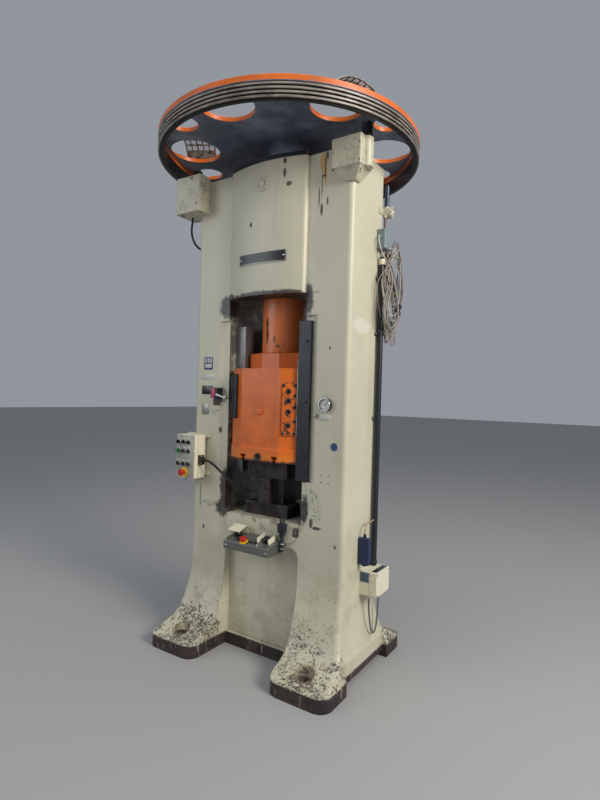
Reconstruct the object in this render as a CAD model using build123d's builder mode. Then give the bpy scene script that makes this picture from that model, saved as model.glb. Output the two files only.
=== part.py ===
"""Screw press: a tall casting on flared feet, a flywheel on a multi-start spindle, and a ram.

The origin is on the floor under the spindle. X points to the right, Y to the rear and Z up.
All sizes are in millimetres.
"""

import os
from math import atan2, cos, degrees, radians, sin, tan

from build123d import *

os.makedirs("parts", exist_ok=True)

CENTRE_LOW = (Align.CENTER, Align.CENTER, Align.MIN)
SIDES = (("left", -1), ("right", 1))

# Clearances
FIT_GAP = 0.08
SEAT_GAP = 0.3

# Casting
BASE_X = 650
BASE_Y = 490
PLINTH_HEIGHT = 75
PLINTH_CORNER = 75
COLUMN_X = 575
COLUMN_Y = 200
COLUMN_CORNER = 28
LEG_INNER_X = 276
LEG_TOP = 640
FOOT_SLOPE = ((0.31, 0.051), (0.655, 0.156), (0.852, 0.398))
FLARE_TOP = 450
HEAD_TOP = 2980
BED_TOP = 850
OPENING_X = 290
OPENING_TOP = 2190
CORE_Y = 150
SKIRT_Y = 180
RECESS_TOP = 700
RECESS_CORNER = 56
BOSS_X = 262
BOSS_BOTTOM = 730
BOSS_Y = 215
BOSS_CORNER = 60
SIDE_SET_BACK = 30
SIDE_SET_BACK_Y = 260
SIDE_RAISED = 35
BARREL_X = 283
BARREL_SIDE_Y = 222
BARREL_FRONT_Y = 272
BARREL_CORNER = 26
PLUG_Z = 2850
PLUG_RADIUS = 44
PLUG_HEIGHT = 7

# Machined pads beside the opening
PAD_X = 333
PAD_CHAMFER = 35
PAD_DEPTH = 12
PAD_BOTTOM = 1100
PAD_TOP = 2060

# Foundation bolts
BOLT_X = 460
BOLT_Y = 385
BOLT_HOLE_RADIUS = 22
SPOT_RADIUS = 55
SPOT_FLOOR = 92

# Spindle
THREAD_CORE = 80
THREAD_CREST = 92
THREAD_STARTS = 4
THREAD_LEAD = 120
THREAD_ROOT_ANGLE = 27
THREAD_CREST_ANGLE = 15
THREAD_GAP = 1.6
SPINDLE_BOTTOM = 1790
THREAD_TOP = 2600
SHANK_RADIUS = 94
COLLAR_RADIUS = 132
COLLAR_BOTTOM = 2700
COLLAR_TOP = 2760
JOURNAL_RADIUS = 76
SEAT_RADIUS = 70
STUD_RADIUS = 58

# Bearings in the head
SLEEVE_BORE = 145
BEARING_SHOULDER = 2800
BUSH_RADIUS = 95
PLATE_THICKNESS = 25
RING_HEIGHT = 15
RING_RADIUS = 150
PLATE_HOLE = 88

# Flywheel: its radii come from the outside, and its heights from the plate under it
WHEEL_RADIUS = 810
RIM_WIDTH = 38
RIM_SET_IN = 2
RIM_CLEARANCE = 29
RIM_RINGS = 4
RIM_RING_HEIGHT = 21
RIM_GROOVE = 2.5
RIM_GROOVE_DEPTH = 14
RIM_RIDGE_EDGE = 5
RIM_JOINT = 0.2
BAND_HEIGHT = 33
BAND_EDGE = 3
WEB_THICKNESS = 25
WEB_BEVEL = 37
HUB_RADIUS = 168
HUB_RISE = 62
HUB_FOOT = 22
HUB_TAPER = 28
BIG_HOLES = 6
BIG_HOLE_RADIUS = 155
BIG_HOLE_WALL = 12
SMALL_HOLE_RADIUS = 85
SMALL_HOLE_WALL = 7
RIM_INNER = WHEEL_RADIUS - RIM_WIDTH
RIM_RING_RADIUS = WHEEL_RADIUS - RIM_SET_IN
RIM_BOTTOM = HEAD_TOP + PLATE_THICKNESS + RIM_CLEARANCE
RIM_TOP = RIM_BOTTOM + RIM_RINGS * RIM_RING_HEIGHT
BAND_TOP = RIM_TOP + BAND_HEIGHT
WEB_BOTTOM = BAND_TOP - BAND_EDGE
WEB_TOP = WEB_BOTTOM + WEB_THICKNESS
WEB_BEVEL_RADIUS = RIM_INNER - WEB_BEVEL
HUB_TOP = WEB_TOP + HUB_RISE
BIG_HOLE_PITCH = RIM_INNER - BIG_HOLE_WALL - BIG_HOLE_RADIUS
SMALL_HOLE_PITCH = RIM_INNER - SMALL_HOLE_WALL - SMALL_HOLE_RADIUS
KEY_WIDTH = 32
KEY_HEIGHT = 18
NUT_ACROSS = 170
NUT_HEIGHT = 42

# Ram
RAM_BOTTOM = 1195
RAM_TOP = 1757
RAM_FACE_X = 148
RAM_FACE_Y = 246
RAM_WING_X = 248
RAM_BORE = 100
RAM_BORE_BOTTOM = 1460
RAM_LEDGE_Z = 1280
RAM_LEDGE = 8
T_SLOT_X = 117
T_NECK = 24
T_NECK_HEIGHT = 20
T_HEAD = 42
T_HEAD_HEIGHT = 18
SHANK_BORE = 30
SHANK_BORE_DEPTH = 90
CLAMP_Z = 1222
CLAMP_RADIUS = 24
RAM_PLUG_Z = 1500
RAM_PLUG_RADIUS = 27
SLOT_X = -38
SLOT_WIDTH = 15
SLOT_BOTTOM = 1935
SLOT_TOP = 2075
SLOT_DEPTH = 16
COVER_WIDTH = 84
COVER_BOTTOM = 1362
COVER_TOP = 1668
COVER_THICKNESS = 8
COVER_PORT_X = -4
PORT_RADIUS = 15
PORT_HEIGHTS = (1620, 1565, 1500, 1420)
CAM_BOTTOM = 1445
CAM_TOP = 1723
CAM_WIDTH = 66
CAM_SHIFT = -26
CAM_THICKNESS = 20
COLLAR_BLOCK_HEIGHT = 100
COLLAR_FRONT_X = 65
COLLAR_FRONT_Y = 145
COLLAR_SIDE_X = 204
COLLAR_SIDE_Y = 90
SLEEVE_RADIUS = 140
SLEEVE_TOP = 2250
NUT_RADIUS = 118
NUT_BOTTOM = 1950
NUT_FLANGE_RADIUS = 134
NUT_FLANGE_HEIGHT = 30

# Guides
RAIL_X = 212
RAIL_FRONT_Y = 130
RAIL_BACK_Y = 60
RAIL_BOTTOM = 1100
RAIL_TOP = 2030
KEEPER_X = 252
KEEPER_WIDTH = 80
KEEPER_BOTTOM = 1105
KEEPER_THICKNESS = 24
STRIP_BOTTOM = 1360
STRIP_TOP = 1800
STRIP_WIDTH = 3.2
STRIP_DEPTH = 14
KEEPER_SCREW_X = 310
KEEPER_SCREWS = (1170, 1250, 1560, 1910)
SCREW_RADIUS = 9

# Tooling between the bed and the ram
BOLSTER_X = 160
BOLSTER_Y = 150
BOLSTER_HEIGHT = 80
DIE_X = 105
DIE_Y = 115
DIE_SPLIT = 1001
DIE_PLATE_BOTTOM = 1085
DIE_PLATE_X = 150
DIE_LUG_X = 38
DIE_LUG_Y = 172
DIE_CAVITY = 60
DIE_CAVITY_DEPTH = 30
DIE_DRAFT = 8
CLAMP_BLOCK = 40
CLAMP_BLOCK_X = 196
T_BOLT_HALF = 30

# Column head brackets with the brake cylinders
BRAKE_INNER = {"left": 485, "right": 456}
BRAKE_OUTER = {"left": 700, "right": 640}
BRAKE_FRONT = {"left": 300, "right": 255}
BRAKE_LOW = {"left": 2772, "right": 2845}
BRAKE_BACK_Y = 118
BRAKE_TOP = HEAD_TOP + PLATE_THICKNESS
CORBEL_BOTTOM = 2783
BRAKE_CORNER = 10
PLUNGER_X = 630
PLUNGER_Y = -172
CYLINDER_RADIUS = 40
PLUNGER_RADIUS = 31
PLUNGER_TRAVEL = 54
PLUNGER_GAP = 1
PLUNGER_BORE_DEPTH = 105
PLUNGER_TOP = WEB_BOTTOM - PLUNGER_GAP - PLUNGER_TRAVEL
PLUNGER_BORE_BOTTOM = BRAKE_TOP - PLUNGER_BORE_DEPTH

# Two-hand console
CONSOLE_X = 168
CONSOLE_FRONT_Y = 345
CONSOLE_BOTTOM = 667
CONSOLE_FRONT_TOP = 715
CONSOLE_REAR_TOP = 748
PANEL_ROW = 26
PALM_X = 100
PALM_BACK = 85
BUTTON_TRAVEL = 6
PALM_STEM = 9
PALM_HEAD = 24
PALM_HEAD_HEIGHT = 15
PALM_LIFT = 10
STOP_STEM = 9
STOP_HEAD = 20
STOP_HEAD_HEIGHT = 16
STOP_LIFT = 14
STEM_DEPTH = 18
CONSOLE_STOP_X = -31
CONSOLE_BUTTONS = (-73, 24, 59)
SMALL_BUTTON = 13
SMALL_BUTTON_HEIGHT = 12
GUARD_SHEET = 3
POCKET = 42
POCKET_HEIGHT = 32
HOOD_REAR_Y = -232
HOOD_TOP = 800
HOOD_FRONT_Y = -318
HOOD_FRONT_Z = 770
HOOD_WIDTH = 92

# Operating box on the left column
BOX_LEFT = -620
BOX_RIGHT = -460
BOX_FRONT_Y = 310
BOX_BACK_Y = 214
BOX_BOTTOM = 1045
BOX_TOP = 1325
BOX_COLUMNS = (-602, -557, -512)
BOX_ROWS = (1277, 1219, 1136)
BOX_STOP_X = -548
BOX_STOP_Z = 1082
BOX_LAMP = (BOX_COLUMNS[0], BOX_ROWS[1])
BOX_LID = 34
CABLE_Y = -262
CABLE_Z = 1165
CABLE_RADIUS = 8

# Gauge on the right column
GAUGE_X = 439
GAUGE_Z = 1550
GAUGE_RADIUS = 38
GAUGE_DEPTH = 24
GAUGE_DISH = 9
NEEDLE_PIN = 2
NEEDLE_REST = -50

# Limit switch on the left column
SWITCH_X = -370
SWITCH_Z = 1590
LEVER_X = -342
LEVER_PIN = 4
ROLLER_X = -277
ROLLER_Z = 1572
ROLLER_RADIUS = 12

# Valve on the bed boss
BED_VALVE_X = 185
BED_VALVE_Z = 795

# Fittings on the right side of the column
TANK_X = 611
TANK_Y = -12
TANK_WIDTH = 68
TANK_DEPTH = 38
TANK_BOTTOM = 638
TANK_TOP = 790
JUNCTION_Y = 95
JUNCTION_Z = 522
JUNCTION_WIDTH = 180
JUNCTION_HEIGHT = 142
JUNCTION_DEPTH = 108
JUNCTION_SEAM = 62
CONDUIT_X = 600
CONDUIT_Y = 140
CONDUIT_RADIUS = 17.5
CONDUIT_BOTTOM = JUNCTION_Z + JUNCTION_HEIGHT / 2
CONDUIT_TOP = 2437
CONDUIT_CAP = 46
STRAP_HEIGHTS = (604, 1467, 1972, 2297)
TERMINAL_Y = 148
TERMINAL_Z = 2542
TERMINAL_WIDTH = 86
TERMINAL_HEIGHT = 114
TERMINAL_DEPTH = 55
TERMINAL_BOTTOM = TERMINAL_Z - TERMINAL_HEIGHT / 2
VALVE_Y = 208
VALVE_Z = 2722
VALVE_RADIUS = 33
VALVE_DEPTH = 52
VALVE_PLATE = 85

# Mesh arches on the wheel
HOOD_ANGLES = (-25, -150)
ARCH_HALF = 172
ARCH_RISE = 90
ARCH_WIDTH = 200
ARCH_SHEET = 3
ARCH_WINDOW = 30
ARCH_BAR = 8
ARCH_COLUMNS = 7
ARCH_ROWS = 5
ARCH_CLOSED = 28

# Cable routes, point by point
HOSE_RADIUS = 7
PIPE_RADIUS = 4
LOOP_RADIUS = 5
WIRE_RADIUS = 4.5
LOOP_X = 620
LOOP_GLANDS = (48, 178)
LOOP_TOP = JUNCTION_Z - JUNCTION_HEIGHT / 2 - 14
BOX_CABLE = [
    (BOX_RIGHT + 28, CABLE_Y, CABLE_Z),
    (-385, CABLE_Y, CABLE_Z),
    (-335, -260, 1142),
    (-285, -244, 1098),
    (-248, -212, 1048),
    (-222, -168, 1008),
    (-190, -126, 984),
    (-149, -100, 974),
    (-DIE_X, -100, 974),
]
BRAKE_HOSE = [
    (-641, -200, BRAKE_LOW["left"]),
    (-641, -200, 2752),
    (-653, -197, 2705),
    (-654, -191, 2655),
    (-638, -179, 2605),
    (-610, -160, 2569),
    (-COLUMN_X, -160, 2569),
]
LUBRICATOR_PIPE = [
    (TANK_X, TANK_Y, TANK_TOP + 10),
    (TANK_X, -11, 835),
    (609, 4, 862),
    (606, 34, 870),
    (604, 68, 862),
    (601, 98, 868),
    (CONDUIT_X, CONDUIT_Y - CONDUIT_RADIUS - SEAT_GAP, 866),
]
JUNCTION_LOOP = [
    (LOOP_X, LOOP_GLANDS[0], LOOP_TOP),
    (LOOP_X, LOOP_GLANDS[0], 372),
    (LOOP_X + 3, 60, 290),
    (LOOP_X + 5, 80, 225),
    (LOOP_X + 6, 112, 196),
    (LOOP_X + 5, 145, 222),
    (LOOP_X + 3, 166, 290),
    (LOOP_X, LOOP_GLANDS[1], 372),
    (LOOP_X, LOOP_GLANDS[1], LOOP_TOP),
]
WIRE_LOOP = [
    (604, 172, TERMINAL_BOTTOM),
    (604, 172, 2442),
    (620, 194, 2375),
    (640, 178, 2295),
    (652, 125, 2220),
    (655, 80, 2135),
    (654, 92, 2050),
    (652, 150, 2000),
    (652, 215, 2020),
    (652, 256, 2100),
    (646, 250, 2200),
    (630, 228, 2300),
    (614, 206, 2380),
    (606, 186, 2440),
    (606, 186, TERMINAL_BOTTOM),
]
LOOP_SHAPES = ((0.8, 1.06), (1.2, 0.98), (1.0, 1.02))
LOOP_PITCH = 13
LOOP_CENTRE_Y = 202


# The barrel of the head: two flat flanks and one large arc, the same in front and behind
with BuildSketch() as barrel_plan:
    with BuildLine():
        flank = Line((-BARREL_X, 0), (-BARREL_X, -BARREL_SIDE_Y))
        crown = ThreePointArc(flank @ 1, (0, -BARREL_FRONT_Y), (BARREL_X, -BARREL_SIDE_Y))
        Polyline(crown @ 1, (BARREL_X, 0), (-BARREL_X, 0))
    make_face()
    fillet(barrel_plan.vertices().group_by(Axis.Y)[0], BARREL_CORNER)
    mirror(about=Plane.XZ)

# One leg: the side profile of both feet crossed with the outer flare, then rounded
foot_slope = [
    (-BASE_Y + inward * (BASE_Y - COLUMN_Y), PLINTH_HEIGHT + upward * (LEG_TOP - PLINTH_HEIGHT))
    for inward, upward in FOOT_SLOPE
]
with BuildPart() as leg_form:
    with BuildSketch(Plane.YZ.offset(LEG_INNER_X)):
        with BuildLine():
            Polyline((0, 0), (-BASE_Y, 0), (-BASE_Y, PLINTH_HEIGHT))
            Spline(
                (-BASE_Y, PLINTH_HEIGHT),
                *foot_slope,
                (-COLUMN_Y, LEG_TOP),
                tangents=((1, 0.22), (0, 1)),
            )
            Polyline((-COLUMN_Y, LEG_TOP), (0, LEG_TOP), (0, 0))
        make_face()
        mirror(about=Plane.YZ)
    extrude(amount=BASE_X - LEG_INNER_X)
    with BuildSketch(Plane.XZ):
        with BuildLine():
            Polyline((LEG_INNER_X, 0), (BASE_X, 0), (BASE_X, PLINTH_HEIGHT))
            Spline((BASE_X, PLINTH_HEIGHT), (COLUMN_X, FLARE_TOP), tangents=((-0.5, 1), (0, 1)))
            Polyline((COLUMN_X, FLARE_TOP), (COLUMN_X, LEG_TOP), (LEG_INNER_X, LEG_TOP), (LEG_INNER_X, 0))
        make_face()
    extrude(amount=BASE_Y, both=True, mode=Mode.INTERSECT)
    plinth_edges = leg_form.edges().filter_by(Axis.Z).group_by(SortBy.LENGTH)[0]
    fillet(plinth_edges, PLINTH_CORNER)
    crease = leg_form.edges().filter_by(
        lambda edge: edge.center().X > COLUMN_X - 20
        and abs(edge.center().Y) > COLUMN_Y - 10
        and edge.bounding_box().min.Z > PLINTH_HEIGHT - 1
        and edge.bounding_box().size.Z > 60
    )
    fillet(crease, COLUMN_CORNER)

# Casting with legs, bed, columns and head in one piece
with BuildPart() as frame_casting:
    with BuildSketch(Plane.XY.offset(LEG_TOP)):
        RectangleRounded(2 * COLUMN_X, 2 * COLUMN_Y, COLUMN_CORNER)
    extrude(amount=HEAD_TOP - LEG_TOP)
    with BuildSketch():
        Rectangle(2 * LEG_INNER_X + 60, 2 * CORE_Y)
    extrude(amount=LEG_TOP)
    with BuildSketch():
        Rectangle(2 * LEG_INNER_X + 60, 2 * SKIRT_Y)
    extrude(amount=PLINTH_HEIGHT)
    add(leg_form.part)
    mirror(leg_form.part, about=Plane.YZ)
    with BuildSketch(Plane.XY.offset(OPENING_TOP)):
        add(barrel_plan.sketch)
    extrude(amount=HEAD_TOP - OPENING_TOP)
    with BuildSketch(Plane.XZ):
        with Locations((0, (BOSS_BOTTOM + BED_TOP) / 2)):
            bed_boss = Rectangle(2 * BOSS_X, BED_TOP - BOSS_BOTTOM)
        fillet(bed_boss.vertices().group_by(Axis.Y)[0], BOSS_CORNER)
    extrude(amount=BOSS_Y, both=True)
    with BuildSketch(Plane.XZ):
        with Locations((0, (OPENING_TOP + BED_TOP) / 2)):
            Rectangle(2 * OPENING_X, OPENING_TOP - BED_TOP)
    extrude(amount=BARREL_FRONT_Y + 1, both=True, mode=Mode.SUBTRACT)
    for face_y in (CORE_Y, -COLUMN_Y):
        with BuildSketch(Plane.XZ.offset(face_y)):
            with Locations((0, (LEG_TOP + RECESS_TOP) / 2)):
                recess = Rectangle(2 * LEG_INNER_X, RECESS_TOP - LEG_TOP)
            fillet(recess.vertices().group_by(Axis.Y)[-1], RECESS_CORNER)
        extrude(amount=COLUMN_Y - CORE_Y, mode=Mode.SUBTRACT)
    with BuildSketch(Plane.XY.offset(PAD_BOTTOM)):
        with BuildLine():
            Polyline(
                (OPENING_X - 1, -COLUMN_Y + PAD_DEPTH),
                (PAD_X, -COLUMN_Y + PAD_DEPTH),
                (PAD_X + PAD_CHAMFER, -COLUMN_Y),
                (PAD_X + PAD_CHAMFER, -COLUMN_Y - 1),
                (OPENING_X - 1, -COLUMN_Y - 1),
                close=True,
            )
        make_face()
        mirror(about=Plane.YZ)
        mirror(about=Plane.XZ)
    extrude(amount=PAD_TOP - PAD_BOTTOM, mode=Mode.SUBTRACT)
    with BuildSketch(Plane.XZ):
        for side in (-1, 1):
            with Locations((side * (BASE_X - SIDE_SET_BACK / 2 + 5), FLARE_TOP / 2)):
                Rectangle(SIDE_SET_BACK + 10, FLARE_TOP)
            with Locations((side * (BASE_X - 60), SIDE_RAISED / 2)):
                Rectangle(122, SIDE_RAISED)
    extrude(amount=SIDE_SET_BACK_Y, both=True, mode=Mode.SUBTRACT)
    with BuildSketch(Plane.XY.offset(OPENING_TOP)):
        Circle(SLEEVE_BORE)
    extrude(amount=BEARING_SHOULDER - OPENING_TOP, mode=Mode.SUBTRACT)
    with BuildSketch(Plane.XY.offset(BEARING_SHOULDER)):
        Circle(BUSH_RADIUS)
    extrude(amount=HEAD_TOP - BEARING_SHOULDER, mode=Mode.SUBTRACT)
    with BuildSketch():
        with GridLocations(2 * BOLT_X, 2 * BOLT_Y, 2, 2):
            Circle(BOLT_HOLE_RADIUS)
    extrude(amount=SPOT_FLOOR, mode=Mode.SUBTRACT)
    with BuildSketch(Plane.XY.offset(SPOT_FLOOR)):
        with GridLocations(2 * BOLT_X, 2 * BOLT_Y, 2, 2):
            Circle(SPOT_RADIUS)
    extrude(amount=60, mode=Mode.SUBTRACT)
    with BuildSketch(Plane.XZ.offset(COLUMN_Y)):
        with Locations((0, PLUG_Z)):
            Circle(PLUG_RADIUS)
    extrude(amount=BARREL_FRONT_Y - COLUMN_Y + PLUG_HEIGHT)
    with BuildSketch(Plane.XZ.offset(BARREL_FRONT_Y + PLUG_HEIGHT)):
        with Locations((0, PLUG_Z)):
            Circle(PLUG_RADIUS - 12)
            Circle(PLUG_RADIUS - 24, mode=Mode.SUBTRACT)
    extrude(amount=-4, mode=Mode.SUBTRACT)
frame_casting.part.label = "frame_casting"
export_step(frame_casting.part, "parts/frame_casting.step")

# Dark steel plate that closes the head
with BuildPart() as head_plate:
    with BuildSketch(Plane.XY.offset(HEAD_TOP)):
        add(barrel_plan.sketch)
        Circle(PLATE_HOLE, mode=Mode.SUBTRACT)
    extrude(amount=PLATE_THICKNESS)
head_plate.part.label = "head_plate"
export_step(head_plate.part, "parts/head_plate.step")

# Bronze bush that guides the spindle's journal
with BuildPart() as spindle_bush:
    with BuildSketch(Plane.XY.offset(BEARING_SHOULDER)):
        Circle(BUSH_RADIUS - FIT_GAP)
        Circle(JOURNAL_RADIUS + FIT_GAP, mode=Mode.SUBTRACT)
    extrude(amount=HEAD_TOP - BEARING_SHOULDER)
spindle_bush.part.label = "spindle_bush"
export_step(spindle_bush.part, "parts/spindle_bush.step")

# Bronze ring that takes the blow from the spindle's collar
with BuildPart() as thrust_ring:
    with BuildSketch(Plane.XY.offset(COLLAR_TOP + SEAT_GAP)):
        Circle(COLLAR_RADIUS)
        Circle(JOURNAL_RADIUS + 2, mode=Mode.SUBTRACT)
    extrude(amount=BEARING_SHOULDER - COLLAR_TOP - SEAT_GAP)
thrust_ring.part.label = "thrust_ring"
export_step(thrust_ring.part, "parts/thrust_ring.step")

# Ring under the hub that carries the wheel's weight
hub_bottom = HEAD_TOP + PLATE_THICKNESS + RING_HEIGHT + SEAT_GAP
with BuildPart() as support_bearing:
    with BuildSketch(Plane.XY.offset(HEAD_TOP + PLATE_THICKNESS)):
        Circle(RING_RADIUS)
        Circle(PLATE_HOLE, mode=Mode.SUBTRACT)
    extrude(amount=RING_HEIGHT)
support_bearing.part.label = "support_bearing"
export_step(support_bearing.part, "parts/support_bearing.step")


def lobed_face(gap):
    """The thread's section across the axis: a core circle with one lobe for each start."""
    core = THREAD_CORE + gap
    crest = THREAD_CREST + gap
    widen = degrees(gap / core)
    root_angle = THREAD_ROOT_ANGLE + widen
    crest_angle = THREAD_CREST_ANGLE + widen
    with BuildSketch() as section:
        Circle(core)
        for start in range(THREAD_STARTS):
            turn = 360 * start / THREAD_STARTS
            corners = [
                (core * 0.9, -root_angle),
                (core, -root_angle),
                (crest, -crest_angle),
                (crest, crest_angle),
                (core, root_angle),
                (core * 0.9, root_angle),
            ]
            with BuildLine():
                Polyline(
                    *[(r * cos(radians(turn + a)), r * sin(radians(turn + a))) for r, a in corners],
                    close=True,
                )
            make_face()
    return section.sketch.faces()[0]


# Spindle: the thread runs the whole way up, under a shank, a thrust collar and the wheel's seat
seat_bottom = hub_bottom
stud_bottom = HUB_TOP - 12
with BuildPart() as spindle:
    thread_length = THREAD_TOP - SPINDLE_BOTTOM
    thread = Solid.extrude_linear_with_rotation(
        lobed_face(0), (0, 0, 0), (0, 0, thread_length), 360 * thread_length / THREAD_LEAD
    )
    add(thread.moved(Location((0, 0, SPINDLE_BOTTOM))))
    with BuildSketch(Plane.XZ):
        with BuildLine():
            Polyline(
                (0, THREAD_TOP),
                (SHANK_RADIUS, THREAD_TOP),
                (SHANK_RADIUS, COLLAR_BOTTOM),
                (COLLAR_RADIUS, COLLAR_BOTTOM),
                (COLLAR_RADIUS, COLLAR_TOP),
                (JOURNAL_RADIUS, COLLAR_TOP),
                (JOURNAL_RADIUS, seat_bottom),
                (SEAT_RADIUS, seat_bottom),
                (SEAT_RADIUS, stud_bottom),
                (STUD_RADIUS, stud_bottom),
                (STUD_RADIUS, HUB_TOP + NUT_HEIGHT + 12),
                (0, HUB_TOP + NUT_HEIGHT + 12),
                close=True,
            )
        make_face()
    revolve(axis=Axis.Z)
    with BuildSketch(Plane.XY.offset(WEB_BOTTOM)):
        with Locations((SEAT_RADIUS, 0)):
            Rectangle(KEY_HEIGHT, KEY_WIDTH)
    extrude(amount=HUB_TOP - WEB_BOTTOM, mode=Mode.SUBTRACT)
spindle.part.label = "spindle"
export_step(spindle.part, "parts/spindle.step")

# Bronze nut with a flange that sits on the sleeve
nut_length = SLEEVE_TOP + NUT_FLANGE_HEIGHT - NUT_BOTTOM
with BuildPart() as spindle_nut:
    with BuildSketch(Plane.XY.offset(NUT_BOTTOM)):
        Circle(NUT_RADIUS)
    extrude(amount=SLEEVE_TOP - NUT_BOTTOM)
    with BuildSketch(Plane.XY.offset(SLEEVE_TOP)):
        Circle(NUT_FLANGE_RADIUS)
    extrude(amount=NUT_FLANGE_HEIGHT)
    phase = 360 * (NUT_BOTTOM - SPINDLE_BOTTOM) / THREAD_LEAD
    nut_bore = Solid.extrude_linear_with_rotation(
        lobed_face(THREAD_GAP), (0, 0, 0), (0, 0, nut_length), 360 * nut_length / THREAD_LEAD
    )
    add(nut_bore.moved(Location((0, 0, NUT_BOTTOM), (0, 0, phase))), mode=Mode.SUBTRACT)
spindle_nut.part.label = "spindle_nut"
export_step(spindle_nut.part, "parts/spindle_nut.step")

# Flywheel: a disc of hub and web with two rings of holes, and the band shrunk round it
with BuildPart() as flywheel:
    with BuildSketch(Plane.XZ):
        with BuildLine():
            Polyline(
                (SEAT_RADIUS + FIT_GAP, hub_bottom),
                (HUB_RADIUS, hub_bottom),
                (HUB_RADIUS, WEB_BOTTOM),
                (RIM_INNER, WEB_BOTTOM),
                (RIM_INNER, BAND_TOP + BAND_EDGE),
                (WEB_BEVEL_RADIUS, WEB_TOP),
                (HUB_RADIUS + HUB_FOOT, WEB_TOP),
                (HUB_RADIUS - HUB_TAPER, HUB_TOP),
                (SEAT_RADIUS + FIT_GAP, HUB_TOP),
                close=True,
            )
        make_face()
        with BuildLine():
            Polyline(
                (RIM_INNER + RIM_JOINT, RIM_TOP),
                (RIM_RING_RADIUS, RIM_TOP),
                (WHEEL_RADIUS, RIM_TOP + BAND_EDGE),
                (WHEEL_RADIUS, BAND_TOP - BAND_EDGE),
                (WHEEL_RADIUS - BAND_EDGE, BAND_TOP),
                (RIM_INNER + RIM_JOINT, BAND_TOP + BAND_EDGE),
                close=True,
            )
        make_face()
    revolve(axis=Axis.Z)
    with BuildSketch(Plane.XY.offset(WEB_BOTTOM - 1)):
        with PolarLocations(BIG_HOLE_PITCH, BIG_HOLES, start_angle=30):
            Circle(BIG_HOLE_RADIUS)
        with PolarLocations(SMALL_HOLE_PITCH, BIG_HOLES):
            Circle(SMALL_HOLE_RADIUS)
    extrude(amount=WEB_TOP - WEB_BOTTOM + 2, mode=Mode.SUBTRACT)
    with BuildSketch(Plane.XY.offset(WEB_BOTTOM)):
        with Locations((SEAT_RADIUS, 0)):
            Rectangle(KEY_HEIGHT, KEY_WIDTH)
    extrude(amount=HUB_TOP - WEB_BOTTOM, mode=Mode.SUBTRACT)
flywheel.part.label = "flywheel"
export_step(flywheel.part, "parts/flywheel.step")

# Four rings stacked under the band, each with a raised ridge round its outside
with BuildPart() as rim_rings:
    for number in range(RIM_RINGS):
        low = RIM_BOTTOM + number * RIM_RING_HEIGHT
        high = low + RIM_RING_HEIGHT - RIM_JOINT
        with BuildSketch(Plane.XZ):
            with BuildLine():
                Polyline(
                    (RIM_INNER, low + RIM_GROOVE),
                    (RIM_INNER + RIM_GROOVE, low),
                    (RIM_RING_RADIUS - RIM_GROOVE_DEPTH, low),
                    (RIM_RING_RADIUS - RIM_GROOVE_DEPTH, low + RIM_RIDGE_EDGE),
                    (RIM_RING_RADIUS - 1, low + RIM_RIDGE_EDGE),
                    (RIM_RING_RADIUS, low + RIM_RIDGE_EDGE + 1),
                    (RIM_RING_RADIUS, high - RIM_RIDGE_EDGE - 1),
                    (RIM_RING_RADIUS - 1, high - RIM_RIDGE_EDGE),
                    (RIM_RING_RADIUS - RIM_GROOVE_DEPTH, high - RIM_RIDGE_EDGE),
                    (RIM_RING_RADIUS - RIM_GROOVE_DEPTH, high),
                    (RIM_INNER + RIM_GROOVE, high),
                    (RIM_INNER, high - RIM_GROOVE),
                    close=True,
                )
            make_face()
        revolve(axis=Axis.Z)
rim_rings.part.label = "rim_rings"
export_step(rim_rings.part, "parts/rim_rings.step")

# Key between spindle and hub
with BuildPart() as flywheel_key:
    with BuildSketch(Plane.XY.offset(WEB_BOTTOM)):
        with Locations((SEAT_RADIUS, 0)):
            Rectangle(KEY_HEIGHT - 2 * FIT_GAP, KEY_WIDTH - 2 * FIT_GAP)
    extrude(amount=HUB_TOP - WEB_BOTTOM - 1)
flywheel_key.part.label = "flywheel_key"
export_step(flywheel_key.part, "parts/flywheel_key.step")

# Hexagon nut that holds the wheel down
with BuildPart() as flywheel_nut:
    with BuildSketch(Plane.XY.offset(HUB_TOP)):
        RegularPolygon(NUT_ACROSS / 2, 6, major_radius=False)
        Circle(STUD_RADIUS + FIT_GAP, mode=Mode.SUBTRACT)
    extrude(amount=NUT_HEIGHT)
    chamfer(flywheel_nut.faces().sort_by(Axis.Z)[-1].outer_wire().edges(), 5)
flywheel_nut.part.label = "flywheel_nut"
export_step(flywheel_nut.part, "parts/flywheel_nut.step")

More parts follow.
